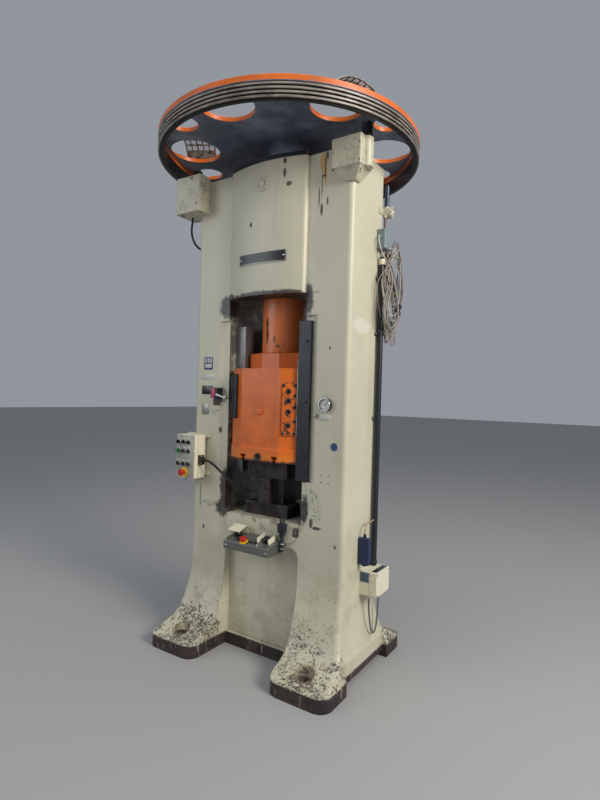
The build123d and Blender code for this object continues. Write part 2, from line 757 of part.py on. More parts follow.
# Ram: two T-slots and a shank bore below, a blind bore for the spindle above
with BuildPart() as ram_body:
    with BuildSketch(Plane.XY.offset(RAM_BOTTOM)) as ram_plan:
        with BuildLine():
            Polyline(
                (0, -RAM_FACE_Y),
                (RAM_FACE_X, -RAM_FACE_Y),
                (RAM_WING_X, -COLUMN_Y),
                (RAM_WING_X, -RAIL_FRONT_Y - SEAT_GAP),
                (RAIL_X - SEAT_GAP, -RAIL_FRONT_Y - SEAT_GAP),
                (RAIL_X - SEAT_GAP, 0),
                (0, 0),
                close=True,
            )
        make_face()
        mirror(about=Plane.YZ)
        mirror(about=Plane.XZ)
    extrude(amount=RAM_TOP - RAM_BOTTOM)
    chamfer(ram_body.faces().sort_by(Axis.Z)[-1].edges().filter_by(
        lambda edge: abs(edge.center().Y) > COLUMN_Y), 6)
    with BuildSketch(Plane.XY.offset(RAM_LEDGE_Z)):
        with BuildLine():
            Polyline(
                (-RAM_WING_X, -COLUMN_Y + RAM_LEDGE),
                (-RAM_FACE_X + 2, -RAM_FACE_Y + RAM_LEDGE),
                (RAM_FACE_X - 2, -RAM_FACE_Y + RAM_LEDGE),
                (RAM_WING_X, -COLUMN_Y + RAM_LEDGE),
                (RAM_WING_X, -RAM_FACE_Y - 1),
                (-RAM_WING_X, -RAM_FACE_Y - 1),
                close=True,
            )
        make_face()
    extrude(amount=RAM_TOP - RAM_LEDGE_Z, taper=0, mode=Mode.SUBTRACT)
    ledge = ram_body.edges().filter_by(
        lambda edge: abs(edge.center().Z - RAM_LEDGE_Z) < 1 and edge.center().Y < -RAM_FACE_Y + 1
    )
    chamfer(ledge, RAM_LEDGE - 1)
    with BuildSketch(Plane.XY.offset(RAM_TOP)):
        Circle(RAM_BORE)
    extrude(amount=RAM_BORE_BOTTOM - RAM_TOP, mode=Mode.SUBTRACT)
    with BuildSketch(Plane.XY.offset(RAM_BOTTOM)):
        Circle(SHANK_BORE)
    extrude(amount=SHANK_BORE_DEPTH, mode=Mode.SUBTRACT)
    with BuildSketch(Plane.XZ):
        for side in (-1, 1):
            with Locations((side * T_SLOT_X, RAM_BOTTOM)):
                Rectangle(T_NECK, T_NECK_HEIGHT, align=(Align.CENTER, Align.MIN))
            with Locations((side * T_SLOT_X, RAM_BOTTOM + T_NECK_HEIGHT)):
                Rectangle(T_HEAD, T_HEAD_HEIGHT, align=(Align.CENTER, Align.MIN))
    extrude(amount=RAM_FACE_Y + 1, both=True, mode=Mode.SUBTRACT)
    with BuildSketch(Plane.XZ.offset(SHANK_BORE)):
        with Locations((0, CLAMP_Z)):
            Circle(CLAMP_RADIUS)
    extrude(amount=RAM_FACE_Y - SHANK_BORE + 1, mode=Mode.SUBTRACT)
ram_body.part.label = "ram_body"
export_step(ram_body.part, "parts/ram_body.step")

# Screw that clamps a tool's shank from the front
with BuildPart() as shank_clamp_screw:
    with BuildSketch(Plane.XZ.offset(SHANK_BORE + 4)):
        with Locations((0, CLAMP_Z)):
            Circle(CLAMP_RADIUS - FIT_GAP)
    extrude(amount=RAM_FACE_Y - SHANK_BORE - 4 + 6)
    with BuildSketch(Plane.XZ.offset(RAM_FACE_Y + 6)):
        with Locations((0, CLAMP_Z)):
            RegularPolygon(CLAMP_RADIUS * 0.5, 6)
    extrude(amount=-14, mode=Mode.SUBTRACT)
shank_clamp_screw.part.label = "shank_clamp_screw"
export_step(shank_clamp_screw.part, "parts/shank_clamp_screw.step")

# Hexagon plug in the middle of the ram's face
with BuildPart() as ram_plug:
    with BuildSketch(Plane.XZ.offset(RAM_FACE_Y - RAM_LEDGE)):
        with Locations((0, RAM_PLUG_Z)):
            Circle(RAM_PLUG_RADIUS)
    extrude(amount=4)
    with BuildSketch(Plane.XZ.offset(RAM_FACE_Y - RAM_LEDGE + 4)):
        with Locations((0, RAM_PLUG_Z)):
            RegularPolygon(RAM_PLUG_RADIUS * 0.85, 6)
    extrude(amount=9)
ram_plug.part.label = "ram_plug"
export_step(ram_plug.part, "parts/ram_plug.step")

# Faceted block on the ram that carries the sleeve
with BuildPart() as ram_collar:
    with BuildSketch(Plane.XY.offset(RAM_TOP)):
        with BuildLine():
            Polyline(
                (0, -COLLAR_FRONT_Y),
                (COLLAR_FRONT_X, -COLLAR_FRONT_Y),
                (COLLAR_SIDE_X, -COLLAR_SIDE_Y),
                (COLLAR_SIDE_X, 0),
                (0, 0),
                close=True,
            )
        make_face()
        mirror(about=Plane.YZ)
        mirror(about=Plane.XZ)
        Circle(RAM_BORE, mode=Mode.SUBTRACT)
    extrude(amount=COLLAR_BLOCK_HEIGHT)
    chamfer(ram_collar.faces().sort_by(Axis.Z)[-1].outer_wire().edges(), 4)
ram_collar.part.label = "ram_collar"
export_step(ram_collar.part, "parts/ram_collar.step")

# Sleeve that guides the ram in the head and holds the nut
sleeve_bottom = RAM_TOP + COLLAR_BLOCK_HEIGHT
with BuildPart() as ram_sleeve:
    with BuildSketch(Plane.XY.offset(sleeve_bottom)):
        Circle(SLEEVE_RADIUS)
        Circle(RAM_BORE, mode=Mode.SUBTRACT)
    extrude(amount=SLEEVE_TOP - sleeve_bottom)
    with BuildSketch(Plane.XY.offset(NUT_BOTTOM)):
        Circle(NUT_RADIUS + FIT_GAP)
    extrude(amount=SLEEVE_TOP - NUT_BOTTOM, mode=Mode.SUBTRACT)
    with BuildSketch(Plane.XZ.offset(SLEEVE_RADIUS - SLOT_DEPTH)):
        with Locations((SLOT_X, (SLOT_BOTTOM + SLOT_TOP) / 2)):
            SlotOverall(SLOT_TOP - SLOT_BOTTOM, SLOT_WIDTH, rotation=90)
    extrude(amount=SLOT_DEPTH + 5, mode=Mode.SUBTRACT)
ram_sleeve.part.label = "ram_sleeve"
export_step(ram_sleeve.part, "parts/ram_sleeve.step")

# Planes on the ram's two slanted facets, each with its origin at half the facet's width
facet_angle = degrees(atan2(RAM_FACE_Y - COLUMN_Y, RAM_WING_X - RAM_FACE_X))
facet_x = (RAM_FACE_X + RAM_WING_X) / 2
facet_y = (RAM_FACE_Y + COLUMN_Y) / 2 - RAM_LEDGE


def facet_plane(side, height):
    """A plane on the right (1) or left (-1) facet, with its normal pointing out."""
    slope = radians(facet_angle)
    return Plane(
        origin=(side * facet_x, -facet_y, height),
        x_dir=(cos(slope), side * sin(slope), 0),
        z_dir=(side * sin(slope), -cos(slope), 0),
    )


# Bolted cover on the right facet, with a row of ports down its middle
cover_middle = (COVER_BOTTOM + COVER_TOP) / 2
cover_plane = facet_plane(1, cover_middle)
port_spots = [(COVER_PORT_X, height - cover_middle) for height in PORT_HEIGHTS]
with BuildPart() as ram_cover:
    with BuildSketch(cover_plane):
        Rectangle(COVER_WIDTH, COVER_TOP - COVER_BOTTOM)
        with Locations(*port_spots):
            Circle(PORT_RADIUS + FIT_GAP, mode=Mode.SUBTRACT)
    extrude(amount=COVER_THICKNESS)
ram_cover.part.label = "ram_cover"
export_step(ram_cover.part, "parts/ram_cover.step")

# Hollow plugs in the cover's ports
with BuildPart() as port_plugs:
    with BuildSketch(cover_plane):
        with Locations(*port_spots):
            Circle(PORT_RADIUS)
    extrude(amount=COVER_THICKNESS + 6)
    with BuildSketch(cover_plane.offset(COVER_THICKNESS + 6)):
        with Locations(*port_spots):
            RegularPolygon(PORT_RADIUS * 0.6, 6)
    extrude(amount=-9, mode=Mode.SUBTRACT)
port_plugs.part.label = "port_plugs"
export_step(port_plugs.part, "parts/port_plugs.step")

# Dark bar with bevelled ends on the left facet, which works the limit switch
cam_middle = (CAM_BOTTOM + CAM_TOP) / 2
cam_plane = facet_plane(-1, cam_middle)
with BuildPart() as switch_cam:
    with BuildSketch(cam_plane):
        with Locations((CAM_SHIFT, 0)):
            Rectangle(CAM_WIDTH, CAM_TOP - CAM_BOTTOM)
    extrude(amount=CAM_THICKNESS)
    cam_face = switch_cam.faces().sort_by(Axis(cam_plane.origin, cam_plane.z_dir))[-1]
    end_edges = cam_face.edges().sort_by(Axis.Z)
    chamfer([end_edges[0], end_edges[-1]], CAM_THICKNESS - 6)
switch_cam.part.label = "switch_cam"
export_step(switch_cam.part, "parts/switch_cam.step")

# Four steel rails between which the ram slides
with BuildPart() as guide_rails:
    with BuildSketch(Plane.XY.offset(RAIL_BOTTOM)):
        with GridLocations(RAIL_X + OPENING_X, RAIL_FRONT_Y + RAIL_BACK_Y, 2, 2):
            Rectangle(OPENING_X - RAIL_X, RAIL_FRONT_Y - RAIL_BACK_Y)
    extrude(amount=RAIL_TOP - RAIL_BOTTOM)
guide_rails.part.label = "guide_rails"
export_step(guide_rails.part, "parts/guide_rails.step")

# Long dark plate on the machined pad at the right, with countersunk screws
keeper_face = COLUMN_Y - PAD_DEPTH + KEEPER_THICKNESS
with BuildPart() as keeper_plate:
    with BuildSketch(Plane.XZ.offset(COLUMN_Y - PAD_DEPTH)):
        with Locations((KEEPER_X + KEEPER_WIDTH / 2, (KEEPER_BOTTOM + RAIL_TOP) / 2)):
            Rectangle(KEEPER_WIDTH, RAIL_TOP - KEEPER_BOTTOM)
        with Locations(*[(KEEPER_SCREW_X, height) for height in KEEPER_SCREWS]):
            Circle(SCREW_RADIUS + FIT_GAP, mode=Mode.SUBTRACT)
    extrude(amount=KEEPER_THICKNESS)
keeper_plate.part.label = "keeper_plate"
export_step(keeper_plate.part, "parts/keeper_plate.step")

with BuildPart() as keeper_screws:
    with BuildSketch(Plane.XZ.offset(COLUMN_Y - PAD_DEPTH)):
        with Locations(*[(KEEPER_SCREW_X, height) for height in KEEPER_SCREWS]):
            Circle(SCREW_RADIUS)
    extrude(amount=KEEPER_THICKNESS - 2)
    with BuildSketch(Plane.XZ.offset(keeper_face - 2)):
        with Locations(*[(KEEPER_SCREW_X, height) for height in KEEPER_SCREWS]):
            RegularPolygon(SCREW_RADIUS * 0.55, 6)
    extrude(amount=-6, mode=Mode.SUBTRACT)
keeper_screws.part.label = "keeper_screws"
export_step(keeper_screws.part, "parts/keeper_screws.step")

# Bright wear strip along the keeper's inner edge
with BuildPart() as wear_strip:
    with BuildSketch(Plane.XZ.offset(keeper_face - STRIP_DEPTH)):
        with Locations((KEEPER_X - STRIP_WIDTH / 2, (STRIP_BOTTOM + STRIP_TOP) / 2)):
            Rectangle(STRIP_WIDTH, STRIP_TOP - STRIP_BOTTOM)
    extrude(amount=STRIP_DEPTH + 2)
wear_strip.part.label = "wear_strip"
export_step(wear_strip.part, "parts/wear_strip.step")

# Bolster on the bed
with BuildPart() as bolster:
    with BuildSketch(Plane.XY.offset(BED_TOP)):
        Rectangle(2 * BOLSTER_X, 2 * BOLSTER_Y)
    extrude(amount=BOLSTER_HEIGHT)
    chamfer(bolster.faces().sort_by(Axis.Z)[-1].edges(), 5)
bolster.part.label = "bolster"
export_step(bolster.part, "parts/bolster.step")

# Clamps that hold the bolster down on both sides, each with its stud and nut
with BuildPart() as bolster_clamps:
    for side in (-1, 1):
        with BuildSketch(Plane.XY.offset(BED_TOP)):
            with Locations((side * CLAMP_BLOCK_X, 0)):
                Rectangle(CLAMP_BLOCK, CLAMP_BLOCK + 30)
        extrude(amount=BOLSTER_HEIGHT)
        with BuildSketch(Plane.XY.offset(BED_TOP + BOLSTER_HEIGHT)):
            with Locations((side * (CLAMP_BLOCK_X - CLAMP_BLOCK / 2), 0)):
                Rectangle(2 * CLAMP_BLOCK, CLAMP_BLOCK + 10)
        extrude(amount=24)
        with BuildSketch(Plane.XY.offset(BED_TOP + BOLSTER_HEIGHT + 24)):
            with Locations((side * (CLAMP_BLOCK_X - 10), 0)):
                RegularPolygon(17, 6)
        extrude(amount=18)
bolster_clamps.part.label = "bolster_clamps"
export_step(bolster_clamps.part, "parts/bolster_clamps.step")

# Lower die with a lug at the front
with BuildPart() as lower_die:
    with BuildSketch(Plane.XY.offset(BED_TOP + BOLSTER_HEIGHT)):
        Rectangle(2 * DIE_X, 2 * DIE_Y)
        with Locations((0, -DIE_LUG_Y / 2)):
            Rectangle(2 * DIE_LUG_X, DIE_LUG_Y)
    extrude(amount=DIE_SPLIT - BED_TOP - BOLSTER_HEIGHT - SEAT_GAP)
    with BuildSketch(Plane.XY.offset(DIE_SPLIT - SEAT_GAP)):
        Circle(DIE_CAVITY)
    extrude(amount=-DIE_CAVITY_DEPTH, taper=DIE_DRAFT, mode=Mode.SUBTRACT)
lower_die.part.label = "lower_die"
export_step(lower_die.part, "parts/lower_die.step")

# Upper die and the plate that hangs it from the ram's T-slots
with BuildPart() as upper_die:
    with BuildSketch(Plane.XY.offset(DIE_SPLIT)):
        Rectangle(2 * DIE_X, 2 * DIE_Y)
        with Locations((0, -DIE_LUG_Y / 2)):
            Rectangle(2 * DIE_LUG_X, DIE_LUG_Y)
    extrude(amount=DIE_PLATE_BOTTOM - DIE_SPLIT)
    with BuildSketch(Plane.XY.offset(DIE_SPLIT)):
        Circle(DIE_CAVITY)
    extrude(amount=DIE_CAVITY_DEPTH, taper=DIE_DRAFT, mode=Mode.SUBTRACT)
upper_die.part.label = "upper_die"
export_step(upper_die.part, "parts/upper_die.step")

with BuildPart() as die_plate:
    with BuildSketch(Plane.XY.offset(DIE_PLATE_BOTTOM)):
        Rectangle(2 * DIE_PLATE_X, 2 * BOLSTER_Y)
    extrude(amount=RAM_BOTTOM - DIE_PLATE_BOTTOM)
    with BuildSketch(Plane.XY.offset(RAM_BOTTOM)):
        Circle(SHANK_BORE - FIT_GAP)
    extrude(amount=SHANK_BORE_DEPTH - 10)
    with BuildSketch(Plane.XZ):
        for side in (-1, 1):
            with Locations((side * T_SLOT_X, RAM_BOTTOM)):
                Rectangle(T_NECK - 2, T_NECK_HEIGHT + 3, align=(Align.CENTER, Align.MIN))
            with Locations((side * T_SLOT_X, RAM_BOTTOM + T_NECK_HEIGHT + SEAT_GAP)):
                Rectangle(T_HEAD - 2, T_HEAD_HEIGHT - 4, align=(Align.CENTER, Align.MIN))
    extrude(amount=T_BOLT_HALF, both=True)
die_plate.part.label = "die_plate"
export_step(die_plate.part, "parts/die_plate.step")

# Brackets on the column heads, each with an upright cylinder for a brake plunger:
# a small one with a tapered corbel at the right and a larger plain one at the left
for side_name, side in SIDES:
    inner_x = BRAKE_INNER[side_name]
    outer_x = BRAKE_OUTER[side_name]
    front_y = BRAKE_FRONT[side_name]
    low_z = BRAKE_LOW[side_name]
    centre = (side * (inner_x + outer_x) / 2, -(front_y + BRAKE_BACK_Y) / 2)
    with BuildPart() as brake_housing:
        with BuildSketch(Plane.XY.offset(low_z)):
            with Locations(centre):
                Rectangle(outer_x - inner_x, front_y - BRAKE_BACK_Y)
        extrude(amount=BRAKE_TOP - low_z)
        corner = brake_housing.edges().filter_by(Axis.Z).sort_by(Axis.Y)[:2]
        fillet(corner, BRAKE_CORNER)
        if side_name == "right":
            with BuildSketch(Plane.XY.offset(low_z)):
                with Locations(centre):
                    Rectangle(outer_x - inner_x - 8, front_y - BRAKE_BACK_Y - 8)
            with BuildSketch(Plane.XY.offset(CORBEL_BOTTOM)):
                with Locations((side * (COLUMN_X - 20), -COLUMN_Y + 20)):
                    Rectangle(70, 60)
            loft()
        with BuildSketch(Plane.XY.offset(low_z)):
            with Locations((side * PLUNGER_X, PLUNGER_Y)):
                Circle(CYLINDER_RADIUS)
        extrude(amount=BRAKE_TOP - low_z)
        with BuildSketch(Plane.XY.offset(min(low_z, CORBEL_BOTTOM) - 1)):
            with Locations((side * COLUMN_X / 2, 0)):
                brake_seat = Rectangle(COLUMN_X, 2 * COLUMN_Y)
            outer_corner = brake_seat.vertices().filter_by(
                lambda vertex: abs(vertex.X) > COLUMN_X - 1 and vertex.Y < 0
            )
            fillet(outer_corner, COLUMN_CORNER - 1)
        extrude(amount=BRAKE_TOP - CORBEL_BOTTOM + 14, mode=Mode.SUBTRACT)
        with BuildSketch(Plane.XY.offset(PLUNGER_BORE_BOTTOM)):
            with Locations((side * PLUNGER_X, PLUNGER_Y)):
                Circle(PLUNGER_RADIUS + FIT_GAP)
        extrude(amount=BRAKE_TOP - PLUNGER_BORE_BOTTOM, mode=Mode.SUBTRACT)
    brake_housing.part.label = f"brake_housing_{side_name}"
    export_step(brake_housing.part, f"parts/brake_housing_{side_name}.step")

    with BuildPart() as brake_plunger:
        with BuildSketch(Plane.XY.offset(PLUNGER_BORE_BOTTOM)):
            with Locations((side * PLUNGER_X, PLUNGER_Y)):
                Circle(PLUNGER_RADIUS)
        extrude(amount=PLUNGER_TOP - PLUNGER_BORE_BOTTOM)
        fillet(brake_plunger.faces().sort_by(Axis.Z)[-1].edges(), 12)
    brake_plunger.part.label = f"brake_plunger_{side_name}"
    export_step(brake_plunger.part, f"parts/brake_plunger_{side_name}.step")

# Slanted top of the console: its angle, and a plane with its origin at the front edge
panel_rise = CONSOLE_REAR_TOP - CONSOLE_FRONT_TOP
panel_depth = CONSOLE_FRONT_Y - BOSS_Y
panel_angle = atan2(panel_rise, panel_depth)


def panel_plane(x, back):
    """A plane on the console's top at x, the given distance up the slope from its front edge."""
    return Plane(
        origin=(
            x,
            -CONSOLE_FRONT_Y + back * cos(panel_angle),
            CONSOLE_FRONT_TOP + back * sin(panel_angle),
        ),
        x_dir=(1, 0, 0),
        z_dir=(0, -sin(panel_angle), cos(panel_angle)),
    )


# Console with blind holes for its buttons
console_holes = (
    (-PALM_X - 20, PALM_BACK, PALM_STEM),
    (PALM_X, PALM_BACK, PALM_STEM),
    (CONSOLE_STOP_X, PANEL_ROW, STOP_STEM),
)
with BuildPart() as console_body:
    with BuildSketch(Plane.YZ.offset(-CONSOLE_X)):
        with BuildLine():
            Polyline(
                (-CONSOLE_FRONT_Y, CONSOLE_BOTTOM),
                (-CONSOLE_FRONT_Y, CONSOLE_FRONT_TOP),
                (-BOSS_Y, CONSOLE_REAR_TOP),
                (-BOSS_Y, CONSOLE_BOTTOM),
                close=True,
            )
        make_face()
    extrude(amount=2 * CONSOLE_X)
    fillet(console_body.faces().sort_by(Axis.Y)[0].edges(), 4)
    for hole_x, hole_back, hole_radius in console_holes:
        with BuildSketch(panel_plane(hole_x, hole_back)):
            Circle(hole_radius + FIT_GAP)
        extrude(amount=-STEM_DEPTH - BUTTON_TRAVEL - 1, mode=Mode.SUBTRACT)
console_body.part.label = "console_body"
export_step(console_body.part, "parts/console_body.step")

# Plate between the console and the bed's face
with BuildPart() as console_bracket:
    with BuildSketch(Plane.XZ.offset(COLUMN_Y)):
        with Locations((0, (RECESS_TOP + BOSS_BOTTOM) / 2)):
            Rectangle(CONSOLE_X, BOSS_BOTTOM - RECESS_TOP - 4)
    extrude(amount=BOSS_Y - COLUMN_Y)
console_bracket.part.label = "console_bracket"
export_step(console_bracket.part, "parts/console_bracket.step")

# Sheet guards: a bent hood over the left palm button and a pocket round the right one
with BuildPart() as console_guards:
    with BuildSketch(panel_plane(PALM_X, PALM_BACK)) as pocket:
        Rectangle(2 * POCKET, 2 * POCKET)
        with Locations((0, -GUARD_SHEET)):
            Rectangle(2 * (POCKET - GUARD_SHEET), 2 * POCKET, mode=Mode.SUBTRACT)
    extrude(amount=POCKET_HEIGHT)
    with BuildSketch(Plane.YZ.offset(-CONSOLE_X + 8)):
        with BuildLine():
            hood_path = FilletPolyline(
                (HOOD_REAR_Y, panel_plane(0, CONSOLE_FRONT_Y + HOOD_REAR_Y).origin.Z + 2),
                (HOOD_REAR_Y - 6, HOOD_TOP),
                (HOOD_FRONT_Y, HOOD_FRONT_Z),
                radius=10,
            )
            offset(hood_path, amount=GUARD_SHEET, side=Side.RIGHT)
        make_face()
    extrude(amount=HOOD_WIDTH)
console_guards.part.label = "console_guards"
export_step(console_guards.part, "parts/console_guards.step")

# Palm buttons
for side_name, palm_x in (("left", -PALM_X - 20), ("right", PALM_X)):
    with BuildPart(panel_plane(palm_x, PALM_BACK)) as palm_button:
        with Locations((0, 0, -STEM_DEPTH)):
            Cylinder(PALM_STEM, STEM_DEPTH + PALM_LIFT, align=CENTRE_LOW)
        with Locations((0, 0, PALM_LIFT)):
            Cylinder(PALM_HEAD, PALM_HEAD_HEIGHT, align=CENTRE_LOW)
        head_edge = palm_button.edges().filter_by(GeomType.CIRCLE).sort_by(SortBy.RADIUS)[-2:]
        fillet(head_edge.sort_by(Axis.Z)[-1], PALM_HEAD_HEIGHT * 0.6)
    palm_button.part.label = f"palm_button_{side_name}"
    export_step(palm_button.part, f"parts/palm_button_{side_name}.step")

# Red stop button of the console
with BuildPart(panel_plane(CONSOLE_STOP_X, PANEL_ROW)) as console_stop_button:
    with Locations((0, 0, -STEM_DEPTH)):
        Cylinder(STOP_STEM, STEM_DEPTH + STOP_LIFT, align=CENTRE_LOW)
    with Locations((0, 0, STOP_LIFT)):
        Cylinder(STOP_HEAD, STOP_HEAD_HEIGHT, align=CENTRE_LOW)
    head_edge = console_stop_button.edges().filter_by(GeomType.CIRCLE).sort_by(SortBy.RADIUS)[-2:]
    fillet(head_edge.sort_by(Axis.Z)[-1], 6)
console_stop_button.part.label = "console_stop_button"
export_step(console_stop_button.part, "parts/console_stop_button.step")

# Small black buttons beside it
with BuildPart(panel_plane(0, PANEL_ROW)) as console_buttons:
    with Locations(*[(x, 0, 0) for x in CONSOLE_BUTTONS]):
        Cylinder(SMALL_BUTTON, SMALL_BUTTON_HEIGHT, align=CENTRE_LOW)
    fillet(console_buttons.edges().filter_by(GeomType.CIRCLE).group_by(Axis.Z)[-1], 2)
console_buttons.part.label = "console_buttons"
export_step(console_buttons.part, "parts/console_buttons.step")

# Operating box: a body with a shallow seam behind its lid
box_plane = Plane.XZ.offset(BOX_FRONT_Y)
box_x = (BOX_LEFT + BOX_RIGHT) / 2
box_z = (BOX_BOTTOM + BOX_TOP) / 2
with BuildPart() as control_box:
    with BuildSketch(Plane.XZ.offset(BOX_BACK_Y)):
        with Locations((box_x, box_z)):
            RectangleRounded(BOX_RIGHT - BOX_LEFT, BOX_TOP - BOX_BOTTOM, 5)
    extrude(amount=BOX_FRONT_Y - BOX_BACK_Y)
    with BuildSketch(Plane.XZ.offset(BOX_FRONT_Y - BOX_LID)):
        with Locations((box_x, box_z)):
            Rectangle(BOX_RIGHT - BOX_LEFT + 2, BOX_TOP - BOX_BOTTOM + 2)
            RectangleRounded(BOX_RIGHT - BOX_LEFT - 6, BOX_TOP - BOX_BOTTOM - 6, 3, mode=Mode.SUBTRACT)
    extrude(amount=3, mode=Mode.SUBTRACT)
    with BuildSketch(box_plane):
        with Locations((BOX_STOP_X, BOX_STOP_Z)):
            Circle(STOP_STEM + FIT_GAP)
    extrude(amount=-STEM_DEPTH - BUTTON_TRAVEL - 1, mode=Mode.SUBTRACT)
control_box.part.label = "control_box"
export_step(control_box.part, "parts/control_box.step")

# Two bars that carry the box on the column, reaching past its rounded corner
with BuildPart() as box_bars:
    with BuildSketch(Plane.XZ.offset(COLUMN_Y)):
        for bar_z in (BOX_BOTTOM + 30, BOX_TOP - 4):
            with Locations((box_x + 20, bar_z)):
                Rectangle(BOX_RIGHT - BOX_LEFT + 30, 26)
    extrude(amount=BOX_BACK_Y - COLUMN_Y)
box_bars.part.label = "box_bars"
export_step(box_bars.part, "parts/box_bars.step")

# Red stop button of the box
stop_plane = Plane(origin=(BOX_STOP_X, -BOX_FRONT_Y, BOX_STOP_Z), x_dir=(1, 0, 0), z_dir=(0, -1, 0))
with BuildPart(stop_plane) as box_stop_button:
    with Locations((0, 0, -STEM_DEPTH)):
        Cylinder(STOP_STEM, STEM_DEPTH + STOP_LIFT + 8, align=CENTRE_LOW)
    with Locations((0, 0, STOP_LIFT + 8)):
        Cylinder(STOP_HEAD, STOP_HEAD_HEIGHT, align=CENTRE_LOW)
    head_edge = box_stop_button.edges().filter_by(GeomType.CIRCLE).sort_by(SortBy.RADIUS)[-2:]
    fillet(head_edge.sort_by(Axis.Y)[0], 6)
box_stop_button.part.label = "box_stop_button"
export_step(box_stop_button.part, "parts/box_stop_button.step")

# Selectors, push buttons and a lamp of the box
with BuildPart(box_plane) as box_buttons:
    with Locations(*[(x, BOX_ROWS[0], 0) for x in BOX_COLUMNS]):
        Cylinder(SMALL_BUTTON, 8, align=CENTRE_LOW)
    with Locations(*[(x, BOX_ROWS[0], 8) for x in BOX_COLUMNS]):
        Box(8, 2 * SMALL_BUTTON - 4, 14, align=CENTRE_LOW)
    with Locations(*[(x, z, 0) for z in BOX_ROWS[1:] for x in BOX_COLUMNS if (x, z) != BOX_LAMP]):
        Cylinder(SMALL_BUTTON, SMALL_BUTTON_HEIGHT, align=CENTRE_LOW)
    with Locations((BOX_LAMP[0], BOX_LAMP[1], 0)):
        Cylinder(SMALL_BUTTON, SMALL_BUTTON_HEIGHT + 8, align=CENTRE_LOW)
box_buttons.part.label = "box_buttons"
export_step(box_buttons.part, "parts/box_buttons.step")

# Plug at the box's right side
with BuildPart() as cable_connector:
    with BuildSketch(Plane.YZ.offset(BOX_RIGHT)):
        with Locations((CABLE_Y, CABLE_Z)):
            RectangleRounded(34, 62, 5)
    extrude(amount=28)
    with BuildSketch(Plane.YZ.offset(BOX_RIGHT + 28)):
        with Locations((CABLE_Y, CABLE_Z)):
            Circle(CABLE_RADIUS + 5)
            Circle(CABLE_RADIUS, mode=Mode.SUBTRACT)
    extrude(amount=14)
cable_connector.part.label = "cable_connector"
export_step(cable_connector.part, "parts/cable_connector.step")

# Gauge: case, and needle on its pin
gauge_plane = Plane.XZ.offset(COLUMN_Y)
with BuildPart() as gauge_case:
    with BuildSketch(gauge_plane):
        with Locations((GAUGE_X, GAUGE_Z)):
            Circle(GAUGE_RADIUS)
    extrude(amount=GAUGE_DEPTH)
    fillet(gauge_case.edges().sort_by(Axis.Y)[0], 3)
    with BuildSketch(Plane.XZ.offset(COLUMN_Y + GAUGE_DEPTH)):
        with Locations((GAUGE_X, GAUGE_Z)):
            Circle(GAUGE_RADIUS - 5)
    extrude(amount=-GAUGE_DISH, mode=Mode.SUBTRACT)
    with BuildSketch(Plane.XZ.offset(COLUMN_Y + GAUGE_DEPTH - GAUGE_DISH)):
        with Locations((GAUGE_X, GAUGE_Z)):
            Circle(NEEDLE_PIN + 0.05)
    extrude(amount=-6, mode=Mode.SUBTRACT)
gauge_case.part.label = "gauge_case"
export_step(gauge_case.part, "parts/gauge_case.step")

dial_y = COLUMN_Y + GAUGE_DEPTH - GAUGE_DISH
with BuildPart() as gauge_needle:
    with BuildSketch(Plane.XZ.offset(dial_y - 5)):
        with Locations((GAUGE_X, GAUGE_Z)):
            Circle(NEEDLE_PIN)
    extrude(amount=9)
    with BuildSketch(Plane.XZ.offset(dial_y + 2)):
        with Locations((GAUGE_X, GAUGE_Z)):
            Circle(5)
            with Locations(Location((0, 0, 0), NEEDLE_REST)):
                Trapezoid(5, GAUGE_RADIUS - 12, 87, align=(Align.CENTER, Align.MIN))
    extrude(amount=1.6)
gauge_needle.part.label = "gauge_needle"
export_step(gauge_needle.part, "parts/gauge_needle.step")

# Limit switch on its bracket, and the roller lever that the cam bar moves
with BuildPart() as limit_switch:
    with BuildSketch(Plane.XZ.offset(COLUMN_Y)):
        with Locations((SWITCH_X, SWITCH_Z)):
            Rectangle(70, 90)
    extrude(amount=8)
    with BuildSketch(Plane.XZ.offset(COLUMN_Y + 8)):
        with Locations((SWITCH_X + 6, SWITCH_Z + 8)):
            Rectangle(42, 62)
    extrude(amount=36)
    with BuildSketch(Plane.XZ.offset(COLUMN_Y + 8 + 14)):
        with Locations((LEVER_X, SWITCH_Z)):
            Circle(9)
    extrude(amount=24)
    with BuildSketch(Plane.XZ.offset(COLUMN_Y + 8)):
        with Locations((LEVER_X, SWITCH_Z)):
            Circle(LEVER_PIN + FIT_GAP)
    extrude(amount=40, mode=Mode.SUBTRACT)
limit_switch.part.label = "limit_switch"
export_step(limit_switch.part, "parts/limit_switch.step")

# Roller lever on its pin
lever_y = COLUMN_Y + 8 + 38 + SEAT_GAP
with BuildPart() as switch_lever:
    with BuildSketch(Plane.XZ.offset(COLUMN_Y + 10)):
        with Locations((LEVER_X, SWITCH_Z)):
            Circle(LEVER_PIN)
    extrude(amount=lever_y - COLUMN_Y - 10)
    with BuildSketch(Plane.XZ.offset(lever_y)):
        with Locations((LEVER_X, SWITCH_Z), (ROLLER_X, ROLLER_Z)):
            Circle(8)
        with BuildLine():
            Line((LEVER_X, SWITCH_Z), (ROLLER_X, ROLLER_Z))
            offset(amount=5)
        make_face()
    extrude(amount=4)
    with BuildSketch(Plane.XZ.offset(lever_y - 18)):
        with Locations((ROLLER_X, ROLLER_Z)):
            Circle(ROLLER_RADIUS)
    extrude(amount=18)
switch_lever.part.label = "switch_lever"
export_step(switch_lever.part, "parts/switch_lever.step")

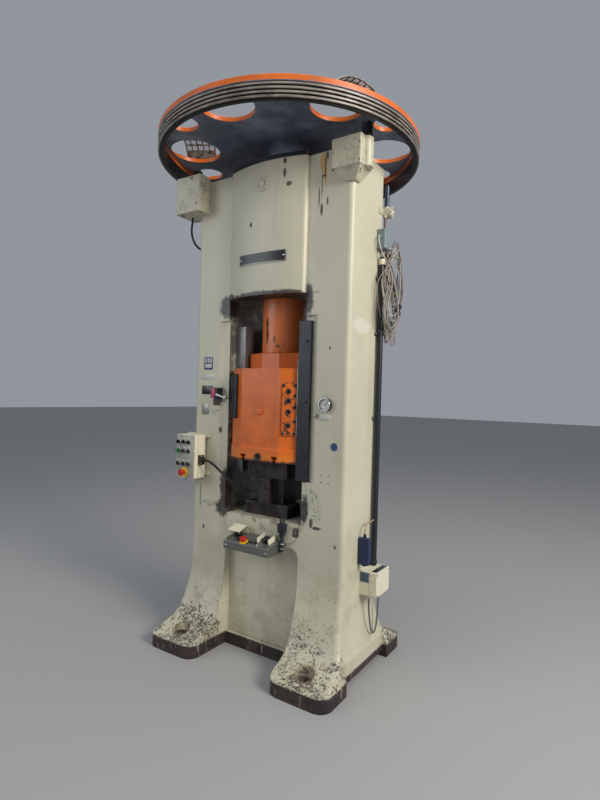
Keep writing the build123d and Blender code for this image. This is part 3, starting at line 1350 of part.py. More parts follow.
# Pneumatic valve block on the bed boss, with pipes above and below
with BuildPart() as bed_valve:
    with BuildSketch(Plane.XY.offset(BED_VALVE_Z)):
        with Locations((BED_VALVE_X, -BOSS_Y - 20)):
            RectangleRounded(44, 40, 4)
    extrude(amount=52)
    with BuildSketch(Plane.XY.offset(BED_VALVE_Z + 52)):
        with Locations((BED_VALVE_X - 9, -BOSS_Y - 22), (BED_VALVE_X + 10, -BOSS_Y - 18)):
            Circle(6)
    extrude(amount=36)
    with BuildSketch(Plane.XY.offset(BED_VALVE_Z)):
        with Locations((BED_VALVE_X, -BOSS_Y - 20)):
            Circle(12)
    extrude(amount=-112)
    with BuildSketch(Plane.XY.offset(BED_VALVE_Z - 22)):
        with Locations((BED_VALVE_X, -BOSS_Y - 20)):
            Circle(17)
    extrude(amount=14)
bed_valve.part.label = "bed_valve"
export_step(bed_valve.part, "parts/bed_valve.step")


def corner_radii(points):
    """One radius for each inner point of a cable's route, as large as its two runs allow."""
    radii = []
    for before, corner, after in zip(points, points[1:], points[2:]):
        arriving = Vector(*corner) - Vector(*before)
        leaving = Vector(*after) - Vector(*corner)
        half_turn = radians(arriving.get_angle(leaving)) / 2
        radii.append(0.45 * min(arriving.length, leaving.length) / tan(half_turn))
    return radii


def report_route(name, line, points):
    """Print a route's length and its tightest arc."""
    length = sum(edge.length for edge in line.edges())
    print(name, "length", round(length), "smallest radius", round(min(corner_radii(points)), 1))


# Lubricator tank on a bracket at the right side, with its pipe
with BuildPart() as lubricator:
    with BuildSketch(Plane.XY.offset(TANK_BOTTOM)):
        with Locations((TANK_X, TANK_Y)):
            RectangleRounded(TANK_WIDTH, TANK_DEPTH, 9)
    extrude(amount=TANK_TOP - TANK_BOTTOM)
    fillet(lubricator.faces().sort_by(Axis.Z)[-1].edges(), 4)
    with BuildSketch(Plane.XY.offset(TANK_BOTTOM + 30)):
        with Locations((COLUMN_X + 6, TANK_Y)):
            Rectangle(12, TANK_DEPTH - 12)
    extrude(amount=90)
    with BuildSketch(Plane.XY.offset(TANK_TOP)):
        with Locations((TANK_X, TANK_Y)):
            Circle(9)
    extrude(amount=10)
    with BuildLine() as route:
        FilletPolyline(*LUBRICATOR_PIPE, radius=corner_radii(LUBRICATOR_PIPE))
    with BuildSketch(Plane(origin=route.line @ 0, z_dir=route.line % 0)):
        Circle(PIPE_RADIUS)
    sweep(path=route.line)
report_route("lubricator pipe", route.line, LUBRICATOR_PIPE)
lubricator.part.label = "lubricator"
export_step(lubricator.part, "parts/lubricator.step")

# Junction box below it, with a seam behind its deep lid
with BuildPart() as junction_box:
    with BuildSketch(Plane.YZ.offset(COLUMN_X)):
        with Locations((JUNCTION_Y, JUNCTION_Z)):
            RectangleRounded(JUNCTION_WIDTH, JUNCTION_HEIGHT, 8)
    extrude(amount=JUNCTION_DEPTH)
    with BuildSketch(Plane.YZ.offset(COLUMN_X + JUNCTION_SEAM)):
        with Locations((JUNCTION_Y, JUNCTION_Z)):
            Rectangle(JUNCTION_WIDTH + 2, JUNCTION_HEIGHT + 2)
            RectangleRounded(JUNCTION_WIDTH - 6, JUNCTION_HEIGHT - 6, 6, mode=Mode.SUBTRACT)
    extrude(amount=3, mode=Mode.SUBTRACT)
    with BuildSketch(Plane.XY.offset(JUNCTION_Z - JUNCTION_HEIGHT / 2)):
        with Locations(*[(LOOP_X, y) for y in LOOP_GLANDS]):
            Circle(LOOP_RADIUS + 4)
    extrude(amount=-14)
junction_box.part.label = "junction_box"
export_step(junction_box.part, "parts/junction_box.step")

# Upright conduit with its cap, and the straps that hold it
with BuildPart() as conduit_tube:
    with BuildSketch(Plane.XY.offset(CONDUIT_BOTTOM)):
        with Locations((CONDUIT_X, CONDUIT_Y)):
            Circle(CONDUIT_RADIUS)
    extrude(amount=CONDUIT_TOP - CONDUIT_BOTTOM)
    with BuildSketch(Plane.XY.offset(CONDUIT_TOP - CONDUIT_CAP)):
        with Locations((CONDUIT_X, CONDUIT_Y)):
            Circle(CONDUIT_RADIUS + 2.5)
    extrude(amount=CONDUIT_CAP)
    fillet(conduit_tube.edges().filter_by(GeomType.CIRCLE).sort_by(Axis.Z)[-1], 8)
conduit_tube.part.label = "conduit_tube"
export_step(conduit_tube.part, "parts/conduit_tube.step")

with BuildPart() as conduit_clamps:
    for strap_z in STRAP_HEIGHTS:
        with BuildSketch(Plane.XY.offset(strap_z)):
            with Locations((CONDUIT_X, CONDUIT_Y)):
                Circle(CONDUIT_RADIUS + 4)
            with Locations((COLUMN_X + 5, CONDUIT_Y)):
                Rectangle(10, 2 * CONDUIT_RADIUS + 24)
            with Locations((CONDUIT_X, CONDUIT_Y)):
                Circle(CONDUIT_RADIUS + FIT_GAP, mode=Mode.SUBTRACT)
        extrude(amount=16)
conduit_clamps.part.label = "conduit_clamps"
export_step(conduit_clamps.part, "parts/conduit_clamps.step")

# Terminal box above the conduit
with BuildPart() as terminal_box:
    with BuildSketch(Plane.YZ.offset(COLUMN_X)):
        with Locations((TERMINAL_Y, TERMINAL_Z)):
            RectangleRounded(TERMINAL_WIDTH, TERMINAL_HEIGHT, 3)
    extrude(amount=TERMINAL_DEPTH)
    fillet(terminal_box.faces().sort_by(Axis.X)[-1].edges().filter_by(Axis.Y), 5)
terminal_box.part.label = "terminal_box"
export_step(terminal_box.part, "parts/terminal_box.step")

# Air valve near the head: a round body on a plate, its solenoid and the pipe to the terminal box
terminal_top = TERMINAL_Z + TERMINAL_HEIGHT / 2
with BuildPart() as air_valve:
    with BuildSketch(Plane.YZ.offset(COLUMN_X)):
        with Locations((VALVE_Y, VALVE_Z)):
            Circle(VALVE_RADIUS)
    extrude(amount=VALVE_DEPTH)
    with BuildSketch(Plane.YZ.offset(COLUMN_X)):
        with Locations((VALVE_Y, VALVE_Z)):
            Rectangle(VALVE_PLATE, 36, align=(Align.MAX, Align.CENTER))
    extrude(amount=6)
    with BuildSketch(Plane.XY.offset(VALVE_Z)):
        with Locations((COLUMN_X + 17, VALVE_Y - 8)):
            Circle(15)
    extrude(amount=158)
    with BuildSketch(Plane.XY.offset(terminal_top)):
        with Locations((COLUMN_X + 17, VALVE_Y - 25)):
            Circle(7)
    extrude(amount=VALVE_Z - terminal_top)
air_valve.part.label = "air_valve"
export_step(air_valve.part, "parts/air_valve.step")

# Wire-mesh arches over two holes of the wheel: a curved sheet with rows of windows
with BuildPart() as mesh_hoods:
    for hood_angle in HOOD_ANGLES:
        turn = radians(hood_angle)
        spot = (BIG_HOLE_PITCH * cos(turn), BIG_HOLE_PITCH * sin(turn), WEB_TOP)
        across = Plane(origin=spot, x_dir=(-sin(turn), cos(turn), 0), z_dir=(cos(turn), sin(turn), 0))
        with BuildSketch(across):
            with BuildLine():
                outer_arc = ThreePointArc((-ARCH_HALF, 0), (0, ARCH_RISE), (ARCH_HALF, 0))
                inner_arc = ThreePointArc(
                    (-ARCH_HALF + ARCH_SHEET, 0), (0, ARCH_RISE - ARCH_SHEET), (ARCH_HALF - ARCH_SHEET, 0)
                )
                Line(outer_arc @ 0, inner_arc @ 0)
                Line(outer_arc @ 1, inner_arc @ 1)
            make_face()
        extrude(amount=ARCH_WIDTH / 2, both=True)
        floor_plane = Plane(origin=spot, x_dir=(-sin(turn), cos(turn), 0), z_dir=(0, 0, 1))
        with BuildSketch(floor_plane.offset(ARCH_CLOSED)):
            with GridLocations(ARCH_WINDOW + ARCH_BAR, ARCH_WINDOW + ARCH_BAR, ARCH_COLUMNS, ARCH_ROWS):
                Rectangle(ARCH_WINDOW, ARCH_WINDOW)
        extrude(amount=ARCH_RISE, mode=Mode.SUBTRACT)
mesh_hoods.part.label = "mesh_hoods"
export_step(mesh_hoods.part, "parts/mesh_hoods.step")


# Cables that the machine holds at both ends
FIXED_CABLES = {
    "box_cable": (CABLE_RADIUS, BOX_CABLE),
    "brake_hose": (HOSE_RADIUS, BRAKE_HOSE),
    "junction_cable": (LOOP_RADIUS, JUNCTION_LOOP),
}
for cable_name, (cable_radius, points) in FIXED_CABLES.items():
    with BuildPart() as cable:
        with BuildLine() as route:
            FilletPolyline(*points, radius=corner_radii(points))
        with BuildSketch(Plane(origin=route.line @ 0, z_dir=route.line % 0)):
            Circle(cable_radius)
        sweep(path=route.line)
    report_route(cable_name, route.line, points)
    cable.part.label = cable_name
    export_step(cable.part, f"parts/{cable_name}.step")

# Three slack loops of wire that hang from the terminal box, side by side
with BuildPart() as wire_loops:
    for number, (spread, drop) in enumerate(LOOP_SHAPES):
        points = [
            (
                x + LOOP_PITCH * (number - 1),
                LOOP_CENTRE_Y + (y - LOOP_CENTRE_Y) * (spread if z < TERMINAL_BOTTOM - 60 else 1),
                TERMINAL_BOTTOM - (TERMINAL_BOTTOM - z) * drop,
            )
            for x, y, z in WIRE_LOOP
        ]
        with BuildLine() as route:
            FilletPolyline(*points, radius=corner_radii(points))
        with BuildSketch(Plane(origin=route.line @ 0, z_dir=route.line % 0)):
            Circle(WIRE_RADIUS)
        sweep(path=route.line)
        report_route(f"wire loop {number + 1}", route.line, points)
wire_loops.part.label = "wire_loops"
export_step(wire_loops.part, "parts/wire_loops.step")
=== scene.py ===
"""Screw press: surfaces, plates, wiring and small fittings around the machine's solids.

The origin is on the floor under the spindle. X points to the right, Y to the rear and Z up.
Lengths are in metres. The front of the columns is the plane y = -0.2.
"""

from math import asin, cos, pi, radians, sin, sqrt, tau

import bmesh
import bpy
from bpy.props import FloatProperty, FloatVectorProperty, IntProperty, PointerProperty
from mathutils import Matrix, Vector, noise


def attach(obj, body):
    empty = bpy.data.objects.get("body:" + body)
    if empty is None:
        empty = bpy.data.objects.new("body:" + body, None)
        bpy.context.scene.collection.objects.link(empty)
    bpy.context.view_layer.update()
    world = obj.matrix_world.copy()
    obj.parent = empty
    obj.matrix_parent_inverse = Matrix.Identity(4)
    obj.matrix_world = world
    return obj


bl_info = {
    "name": "Screw press",
    "version": (1, 0, 0),
    "blender": (4, 2, 0),
    "location": "View3D > Sidebar > Press",
    "description": "Dresses a screw press: worn paint, plates, wiring and small fittings",
    "category": "Object",
}

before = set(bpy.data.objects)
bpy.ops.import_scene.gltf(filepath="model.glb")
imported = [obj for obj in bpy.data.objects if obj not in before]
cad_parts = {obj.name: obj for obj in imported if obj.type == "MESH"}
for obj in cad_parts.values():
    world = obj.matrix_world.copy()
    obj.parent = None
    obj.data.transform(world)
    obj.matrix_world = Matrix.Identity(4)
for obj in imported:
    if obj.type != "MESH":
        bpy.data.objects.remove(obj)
LOOKS = {}

FORWARD = (0, -1, 0)
RIGHT = (1, 0, 0)
UP = (0, 0, 1)

# Planes and places of the solids that the dressing stands on.
COLUMN_FRONT = -0.200
COLUMN_SIDE = 0.574
OPENING_HALF_WIDTH = 0.2925
OPENING_FLOOR = 0.851
OPENING_TOP = 2.1925
FOOT_HOLE_X, FOOT_HOLE_Y = 0.460, 0.385
HEAD_PLATE_TOP = 3.005
WEB_TOP = 3.173
HUB_TOP = 3.235
HOLE_PITCH = 0.605
BOX_FRONT = -0.310
BOX_BOTTOM = 1.046


def tone(red, green, blue):
    """An sRGB colour, 0 to 255, as linear values."""
    linear = []
    for value in (red, green, blue):
        share = value / 255
        linear.append(share / 12.92 if share <= 0.04045 else ((share + 0.055) / 1.055) ** 2.4)
    return tuple(linear)


OIL = tone(38, 30, 24)
PRIMER = tone(52, 46, 40)
WHITE_WEAR = tone(214, 210, 196)


class Look:
    """One procedural material, built node by node."""

    def __init__(self, name, rough=0.5, metal=0.0):
        self.material = bpy.data.materials.new(name)
        self.material.use_nodes = True
        self.tree = self.material.node_tree
        self.tree.nodes.clear()
        output = self.add("ShaderNodeOutputMaterial")
        self.shader = self.add("ShaderNodeBsdfPrincipled")
        self.tree.links.new(self.shader.outputs["BSDF"], output.inputs["Surface"])
        self.place = self.add("ShaderNodeTexCoord").outputs["Object"]
        split = self.add("ShaderNodeSeparateXYZ")
        self.feed(split.inputs[0], self.place)
        self.x, self.y, self.z = split.outputs
        self.set("Roughness", rough)
        self.set("Metallic", metal)
        LOOKS[name] = self.material

    def add(self, kind, **settings):
        """A new node with its settings."""
        node = self.tree.nodes.new(kind)
        for key, value in settings.items():
            setattr(node, key, value)
        return node

    def feed(self, socket, value):
        """Link another socket, or set a plain value."""
        if isinstance(value, bpy.types.NodeSocket):
            self.tree.links.new(value, socket)
        elif isinstance(value, (tuple, list)) and len(value) == 3 and socket.type == "RGBA":
            socket.default_value = (*value, 1)
        else:
            socket.default_value = value

    def set(self, name, value):
        """Feed one input of the shader."""
        self.feed(self.shader.inputs[name], value)

    def maths(self, operation, *values):
        node = self.add("ShaderNodeMath", operation=operation)
        for socket, value in zip(node.inputs, values):
            self.feed(socket, value)
        return node.outputs[0]

    def plus(self, value, extra, share):
        """The value and a share of the extra."""
        return self.maths("ADD", value, self.maths("MULTIPLY", extra, share))

    def reach(self, across, up):
        """The distance from the origin of two coordinates."""
        squares = self.maths("ADD", self.maths("POWER", across, 2.0), self.maths("POWER", up, 2.0))
        return self.maths("SQRT", squares)

    def rough_line(self, noise, size):
        """A noise turned into a shift to both sides, which makes a border ragged."""
        return self.maths("MULTIPLY", self.maths("SUBTRACT", noise, 0.5), size)

    def oval(self, first, second):
        """The distance from a centre, 1 on the oval: each coordinate, middle and half size."""
        across, up = (
            self.maths("DIVIDE", self.maths("SUBTRACT", value, middle), half)
            for value, middle, half in (first, second)
        )
        return self.reach(across, up)

    def band(self, value, low, high):
        """0 at low and 1 at high, with a soft run between them."""
        node = self.add("ShaderNodeMapRange", interpolation_type="SMOOTHSTEP")
        for socket, number in zip(node.inputs, (value, low, high, 0.0, 1.0)):
            self.feed(socket, number)
        return node.outputs[0]

    def noise(self, scale, detail=4.0, rough=0.6, stretch=(1, 1, 1)):
        """Noise in space, finer along an axis that is stretched."""
        place = self.place
        if stretch != (1, 1, 1):
            node = self.add("ShaderNodeMapping")
            self.feed(node.inputs["Vector"], self.place)
            node.inputs["Scale"].default_value = stretch
            place = node.outputs[0]
        node = self.add("ShaderNodeTexNoise")
        self.feed(node.inputs["Vector"], place)
        self.feed(node.inputs["Scale"], scale)
        self.feed(node.inputs["Detail"], detail)
        self.feed(node.inputs["Roughness"], rough)
        return node.outputs["Factor"] if "Factor" in node.outputs else node.outputs["Fac"]

    def blend(self, factor, first, second):
        """The first colour where the factor is 0, the second where it is 1."""
        node = self.add("ShaderNodeMix", data_type="RGBA")
        self.feed(node.inputs[0], factor)
        self.feed(node.inputs[6], first)
        self.feed(node.inputs[7], second)
        return node.outputs[2]

    def both(self, *masks):
        """Where all the masks meet."""
        result = masks[0]
        for mask in masks[1:]:
            result = self.maths("MULTIPLY", result, mask)
        return result

    def either(self, *masks):
        """Where any of the masks is."""
        result = masks[0]
        for mask in masks[1:]:
            result = self.maths("MAXIMUM", result, mask)
        return result

    def flip(self, mask):
        """The mask turned round."""
        return self.maths("SUBTRACT", 1.0, mask)

    def facing(self, axis):
        """How far the surface faces along an axis."""
        node = self.add("ShaderNodeSeparateXYZ")
        self.feed(node.inputs[0], self.add("ShaderNodeTexCoord").outputs["Normal"])
        return node.outputs["XYZ".index(axis)]

    def edges(self, radius=0.005, low=0.02, high=0.14):
        """1 on sharp edges; the softened normal goes into self.soft."""
        bevel = self.add("ShaderNodeBevel", samples=4)
        self.feed(bevel.inputs["Radius"], radius)
        self.soft = bevel.outputs[0]
        dot = self.add("ShaderNodeVectorMath", operation="DOT_PRODUCT")
        self.feed(dot.inputs[0], bevel.outputs[0])
        self.feed(dot.inputs[1], self.add("ShaderNodeNewGeometry").outputs["Normal"])
        return self.band(self.flip(dot.outputs["Value"]), low, high)

    def bump(self, height, strength=0.3, distance=0.002, normal=None):
        """Relief from a height, on top of a softened normal if given."""
        node = self.add("ShaderNodeBump")
        self.feed(node.inputs["Strength"], strength)
        self.feed(node.inputs["Distance"], distance)
        self.feed(node.inputs["Height"], height)
        if normal is not None:
            self.feed(node.inputs["Normal"], normal)
        self.set("Normal", node.outputs[0])

    def spots(self, spots, ragged, soft):
        """Ragged patches on the front: each x, z, half width and half height."""
        masks = []
        for x, z, wide, high in spots:
            away = self.oval((self.x, x, wide), (self.z, z, high))
            masks.append(self.band(self.maths("ADD", away, ragged), 1 + soft, 1 - soft))
        front = self.band(self.y, -0.10, -0.15)
        return self.both(self.either(*masks), front)


# Ragged patches on the front: each x, z, half width and half height.
CHIPS = (
    (0.150, 2.960, 0.012, 0.016), (0.150, 2.890, 0.010, 0.028), (0.180, 2.825, 0.016, 0.013),
    (-0.082, 2.620, 0.010, 0.014), (-0.349, 1.363, 0.012, 0.020), (0.372, 2.655, 0.008, 0.034),
    (0.453, 1.870, 0.006, 0.010), (0.262, 0.800, 0.020, 0.030), (-0.300, 0.840, 0.018, 0.030),
    (-0.318, 1.040, 0.012, 0.034), (-0.262, 2.205, 0.040, 0.016), (0.300, 2.170, 0.010, 0.040),
    (0.410, 2.700, 0.006, 0.022), (0.520, 0.760, 0.008, 0.012), (-0.470, 0.720, 0.010, 0.012),
    (0.200, 2.200, 0.060, 0.010), (0.396, 0.846, 0.030, 0.010), (0.360, 0.870, 0.012, 0.030),
)
CRACKS = (
    (0.392, 2.900, 0.0045, 0.070), (0.372, 2.800, 0.0035, 0.080), (0.354, 2.725, 0.0040, 0.060),
    (0.402, 2.955, 0.010, 0.024), (0.384, 2.845, 0.012, 0.006), (-0.505, 0.920, 0.0030, 0.090),
)
FLAKE_AREAS = (
    (0.345, 1.015, 0.058, 0.060), (0.395, 0.930, 0.030, 0.050), (0.305, 0.900, 0.024, 0.080),
    (-0.395, 1.480, 0.036, 0.026), (-0.430, 0.880, 0.060, 0.020),
)
DRIPS = ((0.377, 2.925, 0.021, 0.050), (0.388, 2.865, 0.011, 0.045), (0.396, 2.840, 0.007, 0.060))
SOOT_PATCHES = (
    (-0.300, 2.150, 0.072, 0.070), (0.304, 2.150, 0.030, 0.090), (0.000, 2.190, 0.290, 0.024),
    (-0.300, 1.000, 0.036, 0.130), (-0.305, 0.870, 0.060, 0.050), (0.312, 0.940, 0.026, 0.080),
)
GREASE_BLOTS = (
    (-0.038, 2.040, 0.012, 0.022), (-0.034, 1.975, 0.013, 0.030), (-0.038, 1.925, 0.009, 0.014),
    (0.045, 1.898, 0.014, 0.010), (0.080, 1.905, 0.010, 0.016), (0.020, 1.940, 0.006, 0.020),
)


def paint_frame(press):
    """Beige paint, dark and chipped at the feet, oily inside the opening."""
    look = Look("frame_paint", rough=0.42)
    fine = look.noise(38, 5, 0.65)
    speck = look.noise(58, 9, 0.8)
    patchy = look.noise(9, 6, 0.7)
    ragged = look.rough_line(look.noise(34, 6, 0.7), 1.7)
    torn = look.rough_line(look.noise(85, 7, 0.75), 2.6)
    height = look.z
    aside = look.maths("ABSOLUTE", look.x)
    depth = look.maths("ABSOLUTE", look.y)
    base = tuple(press.paint)
    colour = look.blend(look.band(look.noise(1.6, 5, 0.6), 0.35, 0.65), base, tuple(0.90 * c for c in base))
    streak = look.noise(9, 4, 0.6, stretch=(1, 1, 0.08))
    colour = look.blend(look.both(look.band(streak, 0.56, 0.72), 0.20), colour, tone(150, 143, 120))
    soil = look.both(look.band(patchy, 0.44, 0.68), look.band(height, 1.10, 0.15), 0.42)
    colour = look.blend(soil, colour, tone(148, 134, 104))
    away = look.oval((look.y, -0.050, 0.105), (height, 2.003, 0.042))
    smear = look.both(
        look.band(look.x, COLUMN_SIDE, COLUMN_SIDE + 0.0008),
        look.band(look.maths("ADD", away, ragged), 1.12, 0.88), 0.75,
    )
    colour = look.blend(smear, colour, WHITE_WEAR)

    # Chipped feet: denser on the toes, in clumps, and rusty round their bolt holes.
    toe = look.both(look.band(height, 0.34, 0.12), look.band(depth, 0.20, 0.28))
    clump = look.band(look.noise(10, 5, 0.6), 0.40, 0.58)
    spatter = look.maths("MULTIPLY", look.maths("ADD", toe, clump), 0.078 * press.wear)
    feet = look.both(
        look.band(look.maths("ADD", look.noise(66, 9, 0.8), spatter), 0.628, 0.645),
        look.band(depth, 0.19, 0.25), look.band(height, 0.52, 0.30),
    )
    edge = look.edges(0.007, 0.03, 0.16)
    low_edge = look.both(edge, look.band(speck, 0.42, 0.52), look.band(height, 0.9, 0.3))
    edge_chip = look.both(edge, look.band(look.noise(16, 7, 0.75), 0.60 - 0.06 * press.wear, 0.64))
    bolt = look.reach(look.maths("SUBTRACT", aside, FOOT_HOLE_X), look.maths("SUBTRACT", depth, FOOT_HOLE_Y))
    bolt = look.plus(bolt, ragged, 0.02)
    top = look.both(look.band(height, 0.30, 0.20), look.band(height, 0.074, 0.080))
    colour = look.blend(look.both(look.band(bolt, 0.085, 0.045), top, 0.45), colour, tone(146, 116, 82))
    colour = look.blend(look.both(look.band(bolt, 0.046, 0.028), top, 0.90), colour, tone(54, 38, 30))

    # The opening: oily walls and deck, flecks below, soot and drips at its rim.
    inside = look.both(
        look.band(aside, OPENING_HALF_WIDTH + 0.001, OPENING_HALF_WIDTH - 0.001),
        look.band(height, OPENING_FLOOR - 0.002, OPENING_FLOOR + 0.002),
        look.band(height, OPENING_TOP + 0.0025, OPENING_TOP - 0.0025),
    )
    oily = look.band(look.plus(look.noise(7, 6, 0.7), look.band(height, 1.20, 1.05), 0.25), 0.28, 0.56)
    grease = look.blend(speck, tone(28, 24, 22), tone(84, 80, 78))
    colour = look.blend(look.both(inside, oily, 0.90), colour, grease)
    deck = look.both(inside, look.band(height, 0.90, OPENING_FLOOR + 0.001))
    colour = look.blend(look.both(deck, 0.85), colour, tone(60, 46, 38))
    flecks = look.both(
        inside, look.band(height, 1.16, 1.00), look.band(look.noise(48, 7, 0.75), 0.60, 0.63), 0.75,
    )
    colour = look.blend(flecks, colour, WHITE_WEAR)
    soot = look.both(look.spots(SOOT_PATCHES, ragged, 0.30), look.band(speck, 0.34, 0.42), 0.95)
    colour = look.blend(soot, colour, OIL)
    colour = look.blend(look.both(look.spots(DRIPS, torn, 0.15), 0.88), colour, tone(208, 160, 82))
    sill = look.both(
        look.band(aside, 0.31, 0.27), look.band(height, 0.72, 0.80),
        look.band(height, 0.90, 0.86), look.band(look.noise(13, 7, 0.75), 0.50, 0.62),
    )
    colour = look.blend(look.both(sill, 0.6), colour, tone(84, 66, 48))
    splash = look.both(look.band(look.noise(60, 3, 0.6), 0.67, 0.71), look.band(height, 1.25, 0.55))
    colour = look.blend(look.both(splash, 0.6), colour, OIL)

    # Everything that is chipped down to the primer, then the dark plinth.
    chip = look.either(
        look.spots(CHIPS, torn, 0.10), look.spots(CRACKS, torn, 0.25), edge_chip, feet, low_edge,
    )
    bare = look.blend(look.band(look.noise(12, 4), 0.42, 0.60), PRIMER, tone(84, 78, 70))
    colour = look.blend(look.both(chip, 0.92), colour, bare)
    flakes = look.both(look.spots(FLAKE_AREAS, ragged, 0.25), look.band(look.noise(75, 6, 0.75), 0.52, 0.56))
    colour = look.blend(look.both(flakes, 0.9), colour, tone(68, 92, 106))
    side = look.band(look.maths("ABSOLUTE", look.facing("Z")), 0.7, 0.3)
    lower = look.band(look.plus(height, torn, 0.014), 0.080, 0.070)
    plinth = look.both(lower, side)
    scratch = look.both(look.band(look.noise(42, 5, 0.7, stretch=(1, 1, 0.16)), 0.59, 0.65), 0.75)
    dark = look.blend(look.band(patchy, 0.4, 0.6), tone(64, 49, 44), tone(36, 31, 32))
    colour = look.blend(plinth, colour, look.blend(scratch, dark, tone(160, 148, 130)))
    look.set("Base Color", colour)
    look.set("Roughness", look.plus(look.plus(0.32, look.either(chip, plinth), 0.25), fine, 0.16))
    relief = look.plus(look.maths("MULTIPLY", look.noise(7, 2), 1.6), fine, 0.22)
    look.bump(look.maths("SUBTRACT", relief, look.maths("MULTIPLY", chip, 0.5)), 0.32, 0.0022, look.soft)


def paint_orange(press):
    """Orange machine paint, worn at the edges and oily below."""
    look = Look("machine_orange", rough=0.30)
    mottled = look.noise(5, 5, 0.6)
    base = tuple(press.orange)
    colour = look.blend(look.band(mottled, 0.35, 0.7), base, tuple(0.76 * c for c in base))
    streak = look.noise(16, 5, 0.65, stretch=(1, 1, 0.06))
    colour = look.blend(look.both(look.band(streak, 0.54, 0.72), 0.35), colour, tone(112, 58, 30))
    sleeve = look.both(look.band(look.z, 1.84, 1.90), 0.40)
    colour = look.blend(sleeve, colour, tone(206, 124, 84))
    edge = look.edges(0.005, 0.02, 0.12)
    ragged = look.noise(26, 7, 0.75)
    band_low = look.both(look.band(look.z, 1.275, 1.20), 0.35)
    colour = look.blend(band_low, colour, tone(226, 140, 40))
    lip = look.band(look.plus(look.z, ragged, 0.045), 1.236, 1.222)
    worn = look.both(edge, look.band(ragged, 0.50, 0.56))
    speck = look.both(look.band(look.noise(48, 6, 0.75), 0.665, 0.685), look.band(look.y, -0.10, -0.16))
    blots = look.spots(GREASE_BLOTS, look.rough_line(ragged, 2.2), 0.12)
    cover = look.both(
        look.band(look.x, 0.150, 0.158), look.band(look.z, 1.36, 1.37), look.band(look.z, 1.68, 1.67),
    )
    oily = look.both(cover, look.band(look.noise(30, 7, 0.8), 0.52, 0.58))
    chip = look.either(worn, look.both(speck, 0.9), lip, oily, blots)
    colour = look.blend(look.both(chip, 0.94), colour, look.blend(look.noise(30, 3), OIL, PRIMER))
    look.set("Base Color", colour)
    look.set("Roughness", look.plus(0.22, mottled, 0.28))
    relief = look.maths("SUBTRACT", look.maths("MULTIPLY", look.noise(12, 3), 0.8), chip)
    look.bump(relief, 0.3, 0.0012, look.soft)


def paint_wheel(press):
    """Orange wheel whose underside is dark with grease; underside and hub side carry a painted bluish sky
    reflection.
    """
    look = Look("wheel_paint", rough=0.42)
    base = tuple(press.orange)
    colour = look.blend(look.band(look.noise(5, 5), 0.35, 0.7), base, tuple(0.74 * c for c in base))
    # Down-facing faces and the hub side get a bluish grey film: grease on the underside, with a painted
    # bluish sky reflection on both.
    down = look.band(look.facing("Z"), -0.3, -0.6)
    inner = look.both(look.band(look.reach(look.x, look.y), 0.20, 0.18), look.band(look.z, 3.15, 3.146))
    dark = look.either(down, inner)
    grease_and_sky_sheen = look.blend(look.band(look.noise(4, 6, 0.7), 0.35, 0.7), tone(84, 93, 110), tone(140, 148, 166))
    colour = look.blend(dark, colour, grease_and_sky_sheen)
    edge = look.edges(0.004, 0.02, 0.12)
    worn = look.both(look.either(edge, 0.5), look.band(look.noise(24, 6, 0.7), 0.58, 0.63), look.flip(dark))
    colour = look.blend(worn, colour, tone(134, 112, 92))
    look.set("Base Color", colour)
    look.set("Roughness", look.plus(0.34, dark, 0.14))
    look.bump(look.noise(20, 4), 0.12, 0.001, look.soft)


def paint_rim():
    """Steel rings: worn ridges, with dark grooves and a dark inside."""
    look = Look("rim_steel", rough=0.42, metal=0.25)
    stain = look.noise(8, 6, 0.7, stretch=(1, 1, 4))
    ridge = look.band(look.reach(look.x, look.y), 0.797, 0.802)
    light = look.blend(look.band(stain, 0.40, 0.66), tone(152, 144, 134), tone(98, 88, 80))
    look.set("Base Color", look.blend(ridge, tone(26, 26, 30), light))
    look.bump(look.noise(60, 4), 0.15, 0.0008)


def metal(name, base, dark, rough=0.38, scale=14.0, share=0.5, shine=0.85, stretch=(1, 1, 1), wear=0.4):
    """Bare or darkened metal with stains and bright edges."""
    look = Look(name, metal=shine)
    stain = look.noise(scale, 6, 0.7, stretch=stretch)
    colour = look.blend(look.band(stain, 0.62 - share * 0.3, 0.70), base, dark)
    edge = look.edges(0.003, 0.02, 0.12)
    bright = tuple(min(1.0, 0.35 + 0.8 * c) for c in base)
    colour = look.blend(look.both(edge, look.band(look.noise(35, 4), 0.42, 0.55), wear), colour, bright)
    look.set("Base Color", colour)
    look.set("Roughness", look.plus(rough, stain, 0.24))
    look.bump(look.noise(90, 3), 0.10, 0.0005, look.soft)


def enamel(name, base, dirt=tone(70, 62, 50), rough=0.40, amount=0.4, metal_share=0.0, flake=0.66):
    """Painted sheet or casting, lightly soiled and chipped on its edges."""
    look = Look(name, metal=metal_share)
    soil = look.band(look.noise(14, 6, 0.7), 0.50, 0.72)
    colour = look.blend(look.both(soil, amount), base, dirt)
    edge = look.edges(0.003, 0.03, 0.14)
    ragged = look.noise(40, 6, 0.75)
    wide = look.band(look.noise(17, 8, 0.8), flake + 0.04, flake + 0.06)
    chip = look.either(look.both(edge, look.band(ragged, 0.52, 0.58)), wide)
    look.set("Base Color", look.blend(chip, colour, PRIMER))
    look.set("Roughness", look.plus(rough - 0.08, look.noise(30, 3), 0.18))
    look.bump(look.noise(55, 3), 0.10, 0.0006, look.soft)


def paint_by_height(name, base, dirt, zones):
    """Paint whose colour changes from base at given heights: each start, end and colour."""
    look = Look(name, rough=0.36)
    colour = look.blend(look.both(look.band(look.noise(20, 6, 0.7), 0.50, 0.70), 0.5), base, dirt)
    for start, end, other in zones:
        colour = look.blend(look.band(look.z, start, end), colour, other)
    look.set("Base Color", colour)
    look.bump(look.noise(60, 3), 0.10, 0.0005)


